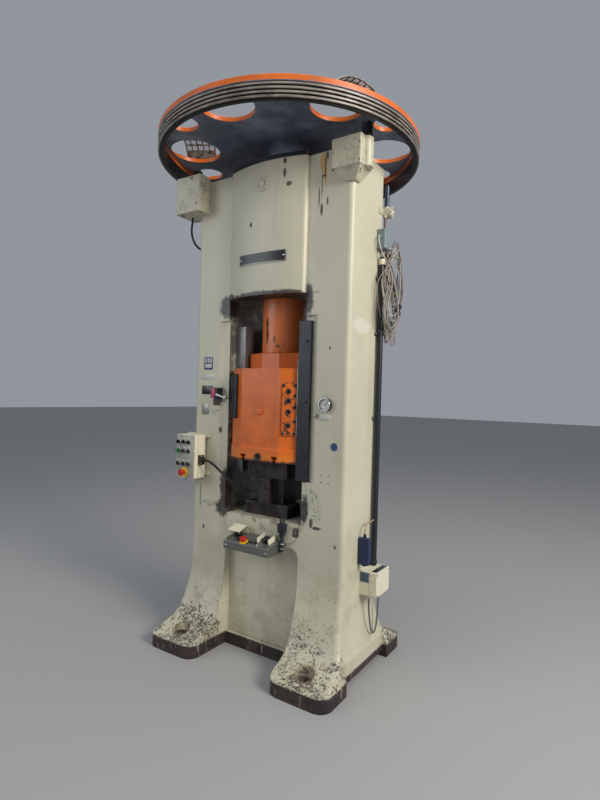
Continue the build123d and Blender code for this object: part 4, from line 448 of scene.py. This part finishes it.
def plain(name, base, rough=0.45, metal_share=0.0, grain=0.08):
    """Plastic, rubber or a label: one colour with a faint grain."""
    look = Look(name, rough=rough, metal=metal_share)
    dust = look.band(look.noise(26, 5, 0.7), 0.5, 0.75)
    look.set("Base Color", look.blend(look.both(dust, 0.12), base, tone(120, 112, 98)))
    look.bump(look.noise(140, 2), grain, 0.0004)


def build_looks(press):
    """Every material of the machine."""
    paint_frame(press)
    paint_orange(press)
    paint_wheel(press)
    paint_rim()
    paint_by_height(
        "lubricator_blue", tone(20, 38, 78), tone(18, 24, 38), ((0.800, 0.802, tone(172, 146, 108)),)
    )
    paint_by_height(
        "valve_paint", tone(198, 192, 170), tone(70, 58, 48),
        ((2.688, 2.686, tone(96, 70, 52)), (2.756, 2.758, tone(22, 46, 66))),
    )
    metal("bright_steel", tone(176, 174, 168), tone(96, 88, 76), 0.26, 11, 0.4, 0.9)
    metal("guide_steel", tone(136, 134, 132), tone(54, 48, 46), 0.34, 8, 0.7, 0.75, (1, 1, 0.3))
    metal("dark_steel", tone(46, 50, 58), tone(24, 23, 23), 0.36, 12, 0.5, 0.5)
    metal("tool_steel", tone(64, 57, 54), tone(26, 22, 21), 0.44, 17, 0.7, 0.55, wear=0.6)
    metal("spattered", tone(150, 144, 134), tone(36, 30, 26), 0.42, 42, 0.8, 0.4)
    metal("bronze", tone(168, 130, 78), tone(92, 66, 38), 0.32, 14, 0.4, 0.9)
    metal("chrome", tone(200, 200, 200), tone(150, 148, 142), 0.14, 14, 0.2, 0.95)
    metal("rusty_steel", tone(104, 84, 66), tone(58, 40, 30), 0.55, 20, 0.6, 0.3)
    enamel("console_metal", tone(112, 113, 108), amount=0.30, rough=0.34, metal_share=0.55)
    enamel("brake_paint", tone(196, 190, 166), tone(96, 84, 68), amount=0.45, flake=0.55)
    enamel("cream_paint", tone(220, 213, 188), tone(120, 108, 84), amount=0.32)
    enamel("panel_grey", tone(158, 157, 142), tone(96, 88, 70), amount=0.35)
    enamel("keeper_blue", tone(25, 28, 35), tone(12, 13, 15), amount=0.6)
    enamel("conduit_dark", tone(25, 28, 36), tone(14, 14, 16), amount=0.5)
    enamel("light_grey", tone(126, 139, 144), amount=0.3)
    plain("black_plastic", tone(22, 22, 23), 0.34)
    plain("red_plastic", tone(186, 26, 22), 0.28)
    plain("pink_plastic", tone(176, 62, 84), 0.40)
    plain("yellow_label", tone(236, 190, 28), 0.42)
    plain("green_lamp", tone(34, 150, 74), 0.20)
    plain("rubber", tone(20, 20, 20), 0.62, grain=0.3)
    plain("grey_hose", tone(88, 90, 90), 0.50)
    plain("white_label", tone(196, 194, 182), 0.42)
    plain("blue_label", tone(42, 66, 112), 0.38)
    plain("faded_label", tone(70, 88, 108), 0.45)
    plain("black_label", tone(20, 21, 23), 0.30)
    plain("plate_metal", tone(150, 148, 140), 0.34, 0.6)
    plain("wire_grey", tone(142, 138, 130), 0.50)
    plain("wire_pale", tone(196, 190, 176), 0.48)
    plain("wire_brown", tone(140, 104, 76), 0.50)
    plain("wire_black", tone(30, 29, 29), 0.50)
    plain("mesh_wire", tone(176, 172, 164), 0.34, 0.8)
    plain("dial_white", tone(226, 224, 214), 0.30)


NODE_LOOKS = {
    "frame_paint": ("frame_casting", "box_bars"),
    "machine_orange": ("ram_body", "ram_collar", "ram_sleeve", "ram_cover", "ram_plug"),
    "wheel_paint": ("flywheel",),
    "rim_steel": ("rim_rings",),
    "bright_steel": ("spindle", "flywheel_key", "wear_strip", "gauge_needle", "switch_lever"),
    "guide_steel": ("guide_rails",),
    "dark_steel": (
        "head_plate", "support_bearing", "flywheel_nut", "brake_plunger_left", "brake_plunger_right",
        "switch_cam", "port_plugs", "keeper_screws", "conduit_clamps", "gauge_case", "limit_switch",
        "bed_valve",
    ),
    "tool_steel": ("bolster", "lower_die", "upper_die", "die_plate", "shank_clamp_screw"),
    "spattered": ("bolster_clamps", "mesh_hoods"),
    "bronze": ("spindle_bush", "thrust_ring", "spindle_nut"),
    "console_metal": ("console_body", "console_bracket"),
    "brake_paint": ("brake_housing_left", "brake_housing_right"),
    "cream_paint": ("junction_box", "console_guards", "control_box"),
    "light_grey": ("terminal_box",),
    "lubricator_blue": ("lubricator",),
    "keeper_blue": ("keeper_plate",),
    "conduit_dark": ("conduit_tube",),
    "valve_paint": ("air_valve",),
    "black_plastic": (
        "palm_button_left", "palm_button_right", "console_buttons", "box_buttons", "cable_connector",
    ),
    "red_plastic": ("console_stop_button", "box_stop_button"),
    "rubber": ("box_cable", "brake_hose"),
    "grey_hose": ("junction_cable",),
    "wire_grey": ("wire_loops",),
}


def add_object(name, data, look, body, angle=35.0):
    """Link a mesh with its look, smooth below the angle, riding on a body."""
    obj = bpy.data.objects.new(name, data)
    bpy.context.scene.collection.objects.link(obj)
    data.materials.append(LOOKS[look])
    if isinstance(data, bpy.types.Mesh):
        for face in data.polygons:
            face.use_smooth = True
        data.set_sharp_from_angle(angle=radians(angle))
    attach(obj, body)
    return obj


def close(name, shape, look, body="frame", angle=35.0):
    """Turn a bmesh into an object."""
    bmesh.ops.recalc_face_normals(shape, faces=shape.faces)
    mesh = bpy.data.meshes.new(name)
    shape.to_mesh(mesh)
    shape.free()
    return add_object(name, mesh, look, body, angle)


def block(shape, low, high, bevel=0.0):
    """A box between two corners, with bevelled edges."""
    made = bmesh.ops.create_cube(shape, size=1)["verts"]
    size = [b - a for a, b in zip(low, high)]
    middle = [(a + b) / 2 for a, b in zip(low, high)]
    bmesh.ops.scale(shape, vec=size, verts=made)
    bmesh.ops.translate(shape, vec=middle, verts=made)
    if bevel:
        lines = {edge for vert in made for edge in vert.link_edges}
        bmesh.ops.bevel(shape, geom=list(lines), offset=bevel, segments=2, affect="EDGES", profile=0.5)


def rod(shape, start, end, radius, segments=24, end_radius=None):
    """A cylinder or a cone between two points."""
    start, end = Vector(start), Vector(end)
    turn = (end - start).to_track_quat("Z", "Y").to_matrix().to_4x4()
    bmesh.ops.create_cone(
        shape, cap_ends=True, segments=segments, radius1=radius,
        radius2=radius if end_radius is None else end_radius, depth=(end - start).length,
        matrix=Matrix.Translation((start + end) / 2) @ turn,
    )


def ring(shape, centre, axis, inner, outer, depth, segments=32):
    """A flat ring that stands on its centre and reaches along its axis."""
    turn = Vector(axis).to_track_quat("Z", "Y").to_matrix().to_4x4()
    place = Matrix.Translation(centre) @ turn
    loops = []
    angles = [tau * i / segments for i in range(segments)]
    for radius, height in ((inner, 0), (outer, 0), (outer, depth), (inner, depth)):
        loops.append([
            shape.verts.new(place @ Vector((radius * cos(angle), radius * sin(angle), height)))
            for angle in angles
        ])
    for first, second in zip(loops, loops[1:] + loops[:1]):
        for i in range(segments):
            j = (i + 1) % segments
            shape.faces.new((first[i], first[j], second[j], second[i]))


def screw_head(shape, centre, axis, radius, height, hexagon=True):
    """A bolt head on its washer."""
    centre, axis = Vector(centre), Vector(axis).normalized()
    rod(shape, centre, centre + axis * height * 0.25, radius * 1.45, 20)
    rod(shape, centre, centre + axis * height, radius, 6 if hexagon else 18, radius * 0.94)


def wires(name, routes, radius, look, body="frame", kind="NURBS"):
    """Round wires along smooth routes, in one curve object."""
    curve = bpy.data.curves.new(name, "CURVE")
    curve.dimensions = "3D"
    curve.bevel_depth = radius
    curve.bevel_resolution = 3 if kind == "NURBS" else 1
    curve.use_fill_caps = True
    for route in routes:
        line = curve.splines.new(kind)
        line.points.add(len(route) - 1)
        for point, place in zip(line.points, route):
            point.co = (*place, 1)
        if kind == "NURBS":
            line.order_u = 4
            line.use_endpoint_u = True
            line.resolution_u = 5
    return add_object(name, curve, look, body)


def barrel_front(x):
    """The y of the head barrel's curved front at x."""
    half, flank, crown = 0.283, 0.222, 0.272
    rise = crown - flank
    radius = (half * half + rise * rise) / (2 * rise)
    return -(crown - radius + sqrt(radius * radius - x * x))


def curved_plate(shape, x_low, x_high, z_low, z_high, lift, thick, steps=18):
    """A thin plate that follows the barrel's curve."""
    rows = []
    for i in range(steps + 1):
        x = x_low + (x_high - x_low) * i / steps
        y = barrel_front(x) - lift
        rows.append([
            shape.verts.new((x, y, z_low)), shape.verts.new((x, y, z_high)),
            shape.verts.new((x, y - thick, z_high)), shape.verts.new((x, y - thick, z_low)),
        ])
    for first, second in zip(rows, rows[1:]):
        for i in range(4):
            j = (i + 1) % 4
            shape.faces.new((first[i], first[j], second[j], second[i]))
    shape.faces.new(rows[0])
    shape.faces.new(rows[-1][::-1])


class PressSettings(bpy.types.PropertyGroup):
    """Colours and sizes of the machine's dressing."""

    paint: FloatVectorProperty(
        name="Frame paint", description="Colour of the casting's paint", subtype="COLOR",
        size=3, min=0, max=1, default=tone(201, 196, 172),
    )
    orange: FloatVectorProperty(
        name="Machine orange", description="Colour of the ram and the wheel", subtype="COLOR",
        size=3, min=0, max=1, default=tone(222, 108, 32),
    )
    wear: FloatProperty(
        name="Wear", description="How chipped and spattered the paint is", subtype="FACTOR",
        min=0, max=1.5, default=1.0,
    )
    wire_count: IntProperty(
        name="Thin wires", description="Wires in the slack hank on the right side",
        min=6, max=60, default=30,
    )
    wire_radius: FloatProperty(
        name="Wire radius", description="Radius of a thin wire", subtype="DISTANCE", unit="LENGTH",
        min=0.001, max=0.006, default=0.0022,
    )
    floor_tone: FloatProperty(
        name="Floor tone", description="Brightness of the studio floor", subtype="FACTOR",
        min=0, max=1, default=0.36,
    )


class PRESS_OT_surfaces(bpy.types.Operator):
    """Give every solid of the machine its worn surface."""

    bl_idname = "press.surfaces"
    bl_label = "Surfaces"

    def execute(self, context):
        build_looks(context.scene.press)
        for look, names in NODE_LOOKS.items():
            for name in names:
                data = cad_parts[name].data
                data.materials.clear()
                data.materials.append(LOOKS[look])
        return {"FINISHED"}


class PRESS_OT_plates(bpy.types.Operator):
    """Fix the bare nameplate and the plaques."""

    bl_idname = "press.plates"
    bl_label = "Plates"

    def execute(self, context):
        half, low, high, thick, rim = 0.172, 2.380, 2.445, 0.004, 0.0012
        shape = bmesh.new()
        curved_plate(shape, -half, half, low, high, 0.0, thick)
        close("nameplate", shape, "black_label")
        shape = bmesh.new()
        for z_low, z_high in ((low, low + 0.0035), (high - 0.0035, high)):
            curved_plate(shape, -half, half, z_low, z_high, thick, rim)
        for x_low, x_high in ((-half, -half + 0.004), (half - 0.004, half)):
            curved_plate(shape, x_low, x_high, low, high, thick, rim, 1)
        close("nameplate_rim", shape, "plate_metal")
        shape = bmesh.new()
        middle = (low + high) / 2
        for x in (-0.158, 0.158):
            face = barrel_front(x) - thick
            rod(shape, (x, face, middle), (x, face - 0.003, middle), 0.005, 14, 0.003)
        close("nameplate_rivets", shape, "chrome")

        y = COLUMN_FRONT
        for name, look, low, high in (
            ("blue_plaque", "blue_label", (-0.497, 1.752), (-0.425, 1.834)),
            ("long_plaque", "white_label", (-0.515, 1.690), (-0.404, 1.722)),
            ("black_plaque", "black_label", (-0.512, 1.590), (-0.418, 1.646)),
            ("small_plaque", "plate_metal", (-0.506, 1.458), (-0.448, 1.530)),
            ("gauge_plaque", "white_label", (0.396, 1.466), (0.470, 1.496)),
        ):
            shape = bmesh.new()
            block(shape, (low[0], y - 0.003, low[1]), (high[0], y, high[1]), 0.0008)
            close(name, shape, look)
        shape = bmesh.new()
        block(shape, (-0.488, y - 0.004, 1.763), (-0.434, y - 0.0028, 1.787), 0.0003)
        for x in (-0.488, -0.466, -0.444):
            block(shape, (x, y - 0.004, 1.796), (x + 0.012, y - 0.0028, 1.824), 0.0003)
        close("blue_plaque_fields", shape, "white_label")
        shape = bmesh.new()
        rod(shape, (0.498, y, 1.317), (0.498, y - 0.0015, 1.317), 0.024, 8, 0.023)
        close("round_sticker", shape, "blue_label")
        shape = bmesh.new()
        block(shape, (0.366, y - 0.014, 1.474), (0.384, y, 1.496), 0.002)
        close("small_block", shape, "plate_metal")
        shape = bmesh.new()
        for x in (0.419, 0.466):
            for z in (1.111, 1.152):
                rod(shape, (x, y - 0.0008, z), (x, y + 0.002, z), 0.0035, 12)
        close("tapped_holes", shape, "black_plastic")
        return {"FINISHED"}


class PRESS_OT_console(bpy.types.Operator):
    """Dress the two-hand console."""

    bl_idname = "press.console"
    bl_label = "Console"

    def execute(self, context):
        slope = Vector((0, 0.130, 0.033)).normalized()
        up = Vector((0, -slope.z, slope.y))
        front = Vector((0, -0.345, 0.715))

        def on_panel(x, back):
            return Vector((x, 0, 0)) + front + slope * back

        shape = bmesh.new()
        ring(shape, on_panel(-0.031, 0.026), up, 0.0105, 0.026, 0.003)
        close("console_yellow_disc", shape, "yellow_label")
        shape = bmesh.new()
        for x in (-0.073, 0.024, 0.059):
            ring(shape, on_panel(x, 0.026), up, 0.0132, 0.0165, 0.0045)
        close("console_button_rings", shape, "chrome")
        shape = bmesh.new()
        for x in (-0.120, 0.100):
            ring(shape, on_panel(x, 0.085), up, 0.0105, 0.030, 0.0034)
        close("palm_collars", shape, "black_plastic")
        shape = bmesh.new()
        for x in (-0.158, 0.158):
            for back in (0.012, 0.122):
                screw_head(shape, on_panel(x, back), up, 0.0045, 0.003, False)
        for x in (-0.150, 0.150):
            screw_head(shape, (x, front.y, 0.691), FORWARD, 0.004, 0.003, False)
        close("console_screws", shape, "chrome")
        return {"FINISHED"}


class PRESS_OT_control_box(bpy.types.Operator):
    """Dress the operating box on the left column."""

    bl_idname = "press.control_box"
    bl_label = "Control box"

    def execute(self, context):
        columns = (-0.602, -0.557, -0.512)
        rows = (1.277, 1.219, 1.136)
        y = BOX_FRONT
        shape = bmesh.new()
        block(shape, (-0.616, y - 0.0012, 1.049), (-0.464, y, 1.321), 0.0004)
        close("box_front_sheet", shape, "panel_grey")
        shape = bmesh.new()
        for row in rows:
            for x in columns:
                ring(shape, (x, y - 0.0012, row), FORWARD, 0.0132, 0.0170, 0.004)
        close("box_button_rings", shape, "chrome")
        shape = bmesh.new()
        ring(shape, (-0.548, y - 0.0012, 1.082), FORWARD, 0.0105, 0.031, 0.003)
        close("box_yellow_disc", shape, "yellow_label")
        shape = bmesh.new()
        x, z = columns[0], rows[1]
        rod(shape, (x, y - 0.006, z), (x, y - 0.0215, z), 0.0134, 24, 0.011)
        close("box_green_lamp", shape, "green_lamp")
        shape = bmesh.new()
        for row in rows:
            for x in columns:
                low, high = (x - 0.014, y - 0.0022, row + 0.019), (x + 0.014, y - 0.001, row + 0.027)
                block(shape, low, high, 0.0003)
        close("box_legends", shape, "white_label")
        shape = bmesh.new()
        for x in (-0.608, -0.472):
            for z in (1.057, 1.313):
                screw_head(shape, (x, y, z), FORWARD, 0.005, 0.004, False)
        close("box_screws", shape, "chrome")
        shape = bmesh.new()
        for z in (1.143, 1.187):
            for dy in (-0.011, 0.011):
                screw_head(shape, (-0.432, -0.262 + dy, z), RIGHT, 0.003, 0.003, False)
        close("connector_screws", shape, "chrome")
        shape = bmesh.new()
        x, y = -0.585, -0.262
        rod(shape, (x, y, BOX_BOTTOM), (x, y, BOX_BOTTOM - 0.026), 0.013, 6)
        rod(shape, (x, y, BOX_BOTTOM - 0.024), (x, y, BOX_BOTTOM - 0.044), 0.010, 18, 0.007)
        close("box_gland", shape, "chrome")
        return {"FINISHED"}


class PRESS_OT_gauge(bpy.types.Operator):
    """Dress the gauge with its dial, ticks and rim."""

    bl_idname = "press.gauge"
    bl_label = "Gauge"

    def execute(self, context):
        x, z, dial = 0.439, 1.550, -0.215
        shape = bmesh.new()
        ring(shape, (x, dial, z), FORWARD, 0.0022, 0.0328, 0.0006, 48)
        close("gauge_dial", shape, "dial_white")
        shape = bmesh.new()
        centre = Vector((x, dial - 0.0007, z))
        outer = 0.0305
        for i in range(31):
            angle = radians(-45 + i * 9)
            inner, wide = (0.024, 0.0006) if i % 5 == 0 else (0.027, 0.0003)
            across = Vector((sin(angle), 0, cos(angle)))
            out = Vector((-cos(angle), 0, sin(angle)))
            corners = [
                centre + out * inner - across * wide, centre + out * inner + across * wide,
                centre + out * outer + across * wide, centre + out * outer - across * wide,
            ]
            front = [shape.verts.new(p + Vector((0, -0.0002, 0))) for p in corners]
            back = [shape.verts.new(p) for p in corners]
            shape.faces.new(front)
            shape.faces.new(back[::-1])
            for k in range(4):
                shape.faces.new((front[k], back[k], back[(k + 1) % 4], front[(k + 1) % 4]))
        close("gauge_ticks", shape, "black_label")
        shape = bmesh.new()
        ring(shape, (x, dial - 0.0085, z), FORWARD, 0.0325, 0.0390, 0.004, 48)
        close("gauge_rim", shape, "chrome")
        return {"FINISHED"}


class PRESS_OT_ram_fittings(bpy.types.Operator):
    """Screws of the ram's cover, and the limit switch's cover and bracket."""

    bl_idname = "press.ram_fittings"
    bl_label = "Ram fittings"

    def execute(self, context):
        along = Vector((0.100, 0.046, 0)).normalized()
        out = Vector((along.y, -along.x, 0))
        middle = Vector((0.198, -0.215, 0))
        shape = bmesh.new()
        for shift, heights in ((-0.034, (1.374, 1.656)), (0.034, (1.374, 1.445, 1.530, 1.595, 1.656))):
            for z in heights:
                place = middle + along * shift + out * 0.008 + Vector((0, 0, z))
                screw_head(shape, place, out, 0.0065, 0.006)
        close("ram_cover_screws", shape, "dark_steel", "ram")
        shape = bmesh.new()
        block(shape, (-0.3950, -0.2460, 1.568), (-0.3620, -0.2440, 1.630), 0.0008)
        close("switch_cover", shape, "pink_plastic")
        shape = bmesh.new()
        block(shape, (-0.412, -0.2015, 1.520), (-0.352, -0.200, 1.556), 0.0005)
        close("switch_bracket", shape, "rusty_steel")
        return {"FINISHED"}


class PRESS_OT_wheel_fittings(bpy.types.Operator):
    """Bolts round the hub and on the head plate, and the mesh of the two arches."""

    bl_idname = "press.wheel_fittings"
    bl_label = "Wheel fittings"

    def execute(self, context):
        shape = bmesh.new()
        for i in range(8):
            angle = tau * i / 8
            screw_head(shape, (0.115 * cos(angle), 0.115 * sin(angle), HUB_TOP), UP, 0.011, 0.010)
        close("hub_bolts", shape, "dark_steel", "spindle")
        shape = bmesh.new()
        half, rise = 0.172, 0.090
        radius = (half * half + rise * rise) / (2 * rise)
        sweep = asin(half / radius)
        angles = [sweep * (k / 16 - 1) * 0.99 for k in range(33)]

        def on_arch(turn, angle, shift):
            height = WEB_TOP + rise - radius + (radius + 0.0006) * cos(angle)
            return turn @ Vector((HOLE_PITCH + shift, radius * sin(angle), height))

        routes = []
        for hood in (-25, -150):
            turn = Matrix.Rotation(radians(hood), 4, "Z")
            for side in (-0.186, 0.186):
                for shift in (-0.085, 0.085):
                    screw_head(shape, turn @ Vector((HOLE_PITCH + shift, side, WEB_TOP)), UP, 0.006, 0.005)
            routes += [[on_arch(turn, angle, wire * 0.0140) for angle in angles] for wire in range(-7, 8)]
            routes += [[on_arch(turn, angle, shift) for shift in (-0.098, 0, 0.098)] for angle in angles]
        close("hood_bolts", shape, "dark_steel", "spindle")
        wires("hood_mesh", routes, 0.0014, "mesh_wire", "spindle", "POLY")
        shape = bmesh.new()
        for x in (-0.262, -0.160, 0.160, 0.262):
            for y in (-0.190, 0.190):
                screw_head(shape, (x, y, HEAD_PLATE_TOP), UP, 0.012, 0.011)
        close("head_plate_bolts", shape, "dark_steel")
        return {"FINISHED"}


class PRESS_OT_side_wiring(bpy.types.Operator):
    """The slack hank of thin wires and the fittings on the right side."""

    bl_idname = "press.side_wiring"
    bl_label = "Side wiring"

    def execute(self, context):
        press = context.scene.press
        groups = {"wire_grey": [], "wire_pale": [], "wire_brown": [], "wire_black": []}
        order = ("wire_grey", "wire_pale", "wire_brown", "wire_grey", "wire_black", "wire_grey")
        steps = 14
        for i in range(press.wire_count):
            def stray(index, spread):
                return noise.noise(Vector((i * 3.17, index * 0.53, 4.2))) * spread

            deep = 0.20 + 0.40 * abs(noise.noise(Vector((i * 1.7, 9.1, 2.3)))) * 2
            wide = 0.070 + 0.110 * abs(noise.noise(Vector((i * 2.3, 1.1, 7.7)))) * 2
            coiled = i % 5 > 2
            route = []
            for k in range(steps + 1):
                t = k / steps
                swing = sin(pi * t)
                if coiled:
                    y = 0.225 + wide * sin(tau * t) + stray(k, 0.040)
                    z = 2.235 + (0.09 + 0.4 * deep) * cos(tau * t) + stray(k + 40, 0.040)
                    x = 0.632 + 0.020 * cos(tau * t) + stray(k + 80, 0.030)
                else:
                    y = 0.195 + wide * (2 * t - 1) * (0.15 + 1.3 * swing) + stray(k, 0.060) * swing
                    z = 2.484 - deep * swing ** 0.8 + stray(k + 40, 0.040) * swing
                    x = 0.600 + 0.050 * swing + stray(k + 80, 0.024) * swing
                route.append((max(0.584, x), y, z))
            groups[order[i % len(order)]].append(route)
        groups["wire_pale"] += [
            [
                (0.600, 0.105, 2.560), (0.602, 0.086 - lean, 2.556), (0.604, 0.078 - lean, 2.520),
                (0.612, 0.096, 2.470), (0.624, 0.140, 2.420 - lean), (0.634, 0.190, 2.360),
                (0.630, 0.220, 2.300),
            ]
            for lean in (0.0, 0.012)
        ]
        for look, routes in groups.items():
            wires(f"hank_{look}", routes, press.wire_radius, look)
        shape = bmesh.new()
        rod(shape, (0.604, 0.190, 2.452), (0.607, 0.190, 2.468), 0.024, 18)
        for y, z, size in ((0.300, 2.150, 0.022), (0.328, 2.170, 0.018), (0.318, 2.128, 0.016)):
            block(shape, (0.612, y - size, z - size * 0.8), (0.648, y + size, z + size * 0.8), 0.004)
        close("hank_plugs", shape, "black_plastic")
        shape = bmesh.new()
        for y, z in ((0.170, 2.078), (0.186, 2.056), (0.180, 2.100)):
            rod(shape, (0.612, y, z), (0.636, y + 0.090, z - 0.024), 0.012, 16, 0.010)
        close("hank_bundle", shape, "light_grey")

        shape = bmesh.new()
        ring(shape, (0.600, 0.140, 2.391), UP, 0.0201, 0.0222, 0.034)
        close("conduit_cap_sleeve", shape, "cream_paint")
        shape = bmesh.new()
        for z in (0.612, 1.475, 1.980, 2.305):
            for shift in (-0.0235, 0.0235):
                screw_head(shape, (0.585, 0.140 + shift, z), RIGHT, 0.004, 0.004)
        close("strap_screws", shape, "chrome")
        shape = bmesh.new()
        block(shape, (0.580, 0.0042, 0.530), (0.636, 0.005, 0.586), 0.0003)
        close("junction_label", shape, "faded_label")
        shape = bmesh.new()
        block(shape, (0.645, 0.020, 0.593), (0.676, 0.170, 0.5945), 0.0003)
        close("junction_strip", shape, "black_label")
        shape = bmesh.new()
        for y in (0.014, 0.176):
            for z in (0.461, 0.583):
                screw_head(shape, (0.683, y, z), RIGHT, 0.005, 0.004, False)
        for y in (0.114, 0.182):
            for z in (2.494, 2.590):
                screw_head(shape, (0.630, y, z), RIGHT, 0.0035, 0.003, False)
        close("side_box_screws", shape, "chrome")
        shape = bmesh.new()
        for y in (0.048, 0.178):
            rod(shape, (0.620, y, 0.4515), (0.620, y, 0.438), 0.0120, 6)
            rod(shape, (0.620, y, 0.438), (0.620, y, 0.424), 0.0085, 18, 0.0062)
        close("side_glands", shape, "chrome")
        shape = bmesh.new()
        for i in range(6):
            angle = tau * i / 6
            place = (0.627, 0.208 + 0.025 * cos(angle), 2.722 + 0.025 * sin(angle))
            screw_head(shape, place, RIGHT, 0.0035, 0.003)
        rod(shape, (0.592, 0.200, 2.880), (0.592, 0.200, 2.892), 0.009, 6)
        close("valve_screws", shape, "dark_steel")
        shape = bmesh.new()
        rod(shape, (0.611, -0.012, 0.800), (0.611, -0.012, 0.812), 0.008, 6)
        rod(shape, (0.611, -0.012, 0.638), (0.611, -0.012, 0.628), 0.012, 6)
        close("lubricator_nuts", shape, "dark_steel")
        shape = bmesh.new()
        for lift in (0.0, 0.027):
            ring(shape, (0.185, -0.235, 0.700 + lift), UP, 0.0121, 0.0150, 0.006, 24)
        close("bed_valve_rings", shape, "chrome")
        return {"FINISHED"}


class PRESS_OT_stage(bpy.types.Operator):
    """Pale floor, soft light and the camera."""

    bl_idname = "press.stage"
    bl_label = "Stage"

    def execute(self, context):
        scene = context.scene
        value = scene.press.floor_tone
        look = Look("studio_floor", rough=0.75)
        look.set("Base Color", (value, value * 0.99, value * 0.97))
        shape = bmesh.new()
        bmesh.ops.create_grid(shape, x_segments=1, y_segments=1, size=40)
        mesh = bpy.data.meshes.new("studio_floor")
        shape.to_mesh(mesh)
        shape.free()
        floor = bpy.data.objects.new("studio_floor", mesh)
        scene.collection.objects.link(floor)
        mesh.materials.append(look.material)

        world = bpy.data.worlds.new("studio")
        world.use_nodes = True
        background = world.node_tree.nodes["Background"]
        background.inputs["Color"].default_value = (0.84, 0.90, 1.0, 1)
        background.inputs["Strength"].default_value = 0.34
        scene.world = world
        for name, place, aim, size, power, hue in (
            ("key", (6.4, -1.3, 4.6), (0, 0, 1.6), 3.0, 430, (1.0, 0.97, 0.92)),
            ("fill", (-4.0, -5.0, 3.4), (0, 0, 1.4), 4.0, 105, (0.88, 0.94, 1.0)),
            ("top", (0.8, -0.8, 7.0), (0, 0, 3), 3.5, 90, (1, 1, 1)),
        ):
            lamp = bpy.data.lights.new(name, "AREA")
            lamp.shape = "DISK"
            lamp.size = size
            lamp.energy = power
            lamp.color = hue
            obj = bpy.data.objects.new(name, lamp)
            scene.collection.objects.link(obj)
            aimed = (Vector(aim) - Vector(place)).to_track_quat("-Z", "Y").to_matrix().to_4x4()
            obj.matrix_world = Matrix.Translation(place) @ aimed

        # The camera stands at the front right at eye height, and leans a little.
        eye = (1.912, -2.721, 1.600)
        yaw, pitch, roll = radians(33.20), radians(-0.52), radians(-1.61)
        ahead = Vector((-sin(yaw) * cos(pitch), cos(yaw) * cos(pitch), sin(pitch)))
        level = Vector((cos(yaw), sin(yaw), 0))
        above = level.cross(ahead)
        right = cos(roll) * level - sin(roll) * above
        up = sin(roll) * level + cos(roll) * above
        lens = bpy.data.cameras.new("photo_view")
        lens.sensor_width = 36
        lens.lens = 23.36
        camera = bpy.data.objects.new("photo_view", lens)
        scene.collection.objects.link(camera)
        turn = Matrix((right, up, -ahead)).transposed().to_4x4()
        camera.matrix_world = Matrix.Translation(eye) @ turn
        scene.camera = camera
        scene.view_settings.view_transform = "Standard"
        return {"FINISHED"}


OPERATORS = (
    PRESS_OT_surfaces, PRESS_OT_plates, PRESS_OT_console, PRESS_OT_control_box, PRESS_OT_gauge,
    PRESS_OT_ram_fittings, PRESS_OT_wheel_fittings, PRESS_OT_side_wiring, PRESS_OT_stage,
)


class PRESS_PT_panel(bpy.types.Panel):
    """The press's settings and pieces."""

    bl_idname = "PRESS_PT_panel"
    bl_label = "Screw press"
    bl_space_type = "VIEW_3D"
    bl_region_type = "UI"
    bl_category = "Press"

    def draw(self, context):
        press = context.scene.press
        for name in ("paint", "orange", "wear", "wire_count", "wire_radius", "floor_tone"):
            self.layout.prop(press, name)
        for kind in OPERATORS:
            self.layout.operator(kind.bl_idname)


CLASSES = (PressSettings, *OPERATORS, PRESS_PT_panel)


def register():
    for kind in CLASSES:
        bpy.utils.register_class(kind)
    bpy.types.Scene.press = PointerProperty(type=PressSettings)


def unregister():
    del bpy.types.Scene.press
    for kind in reversed(CLASSES):
        bpy.utils.unregister_class(kind)


def main():
    register()
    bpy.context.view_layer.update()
    bpy.ops.press.surfaces()
    bpy.ops.press.plates()
    bpy.ops.press.console()
    bpy.ops.press.control_box()
    bpy.ops.press.gauge()
    bpy.ops.press.ram_fittings()
    bpy.ops.press.wheel_fittings()
    bpy.ops.press.side_wiring()
    bpy.ops.press.stage()


if __name__ == "__main__":
    main()
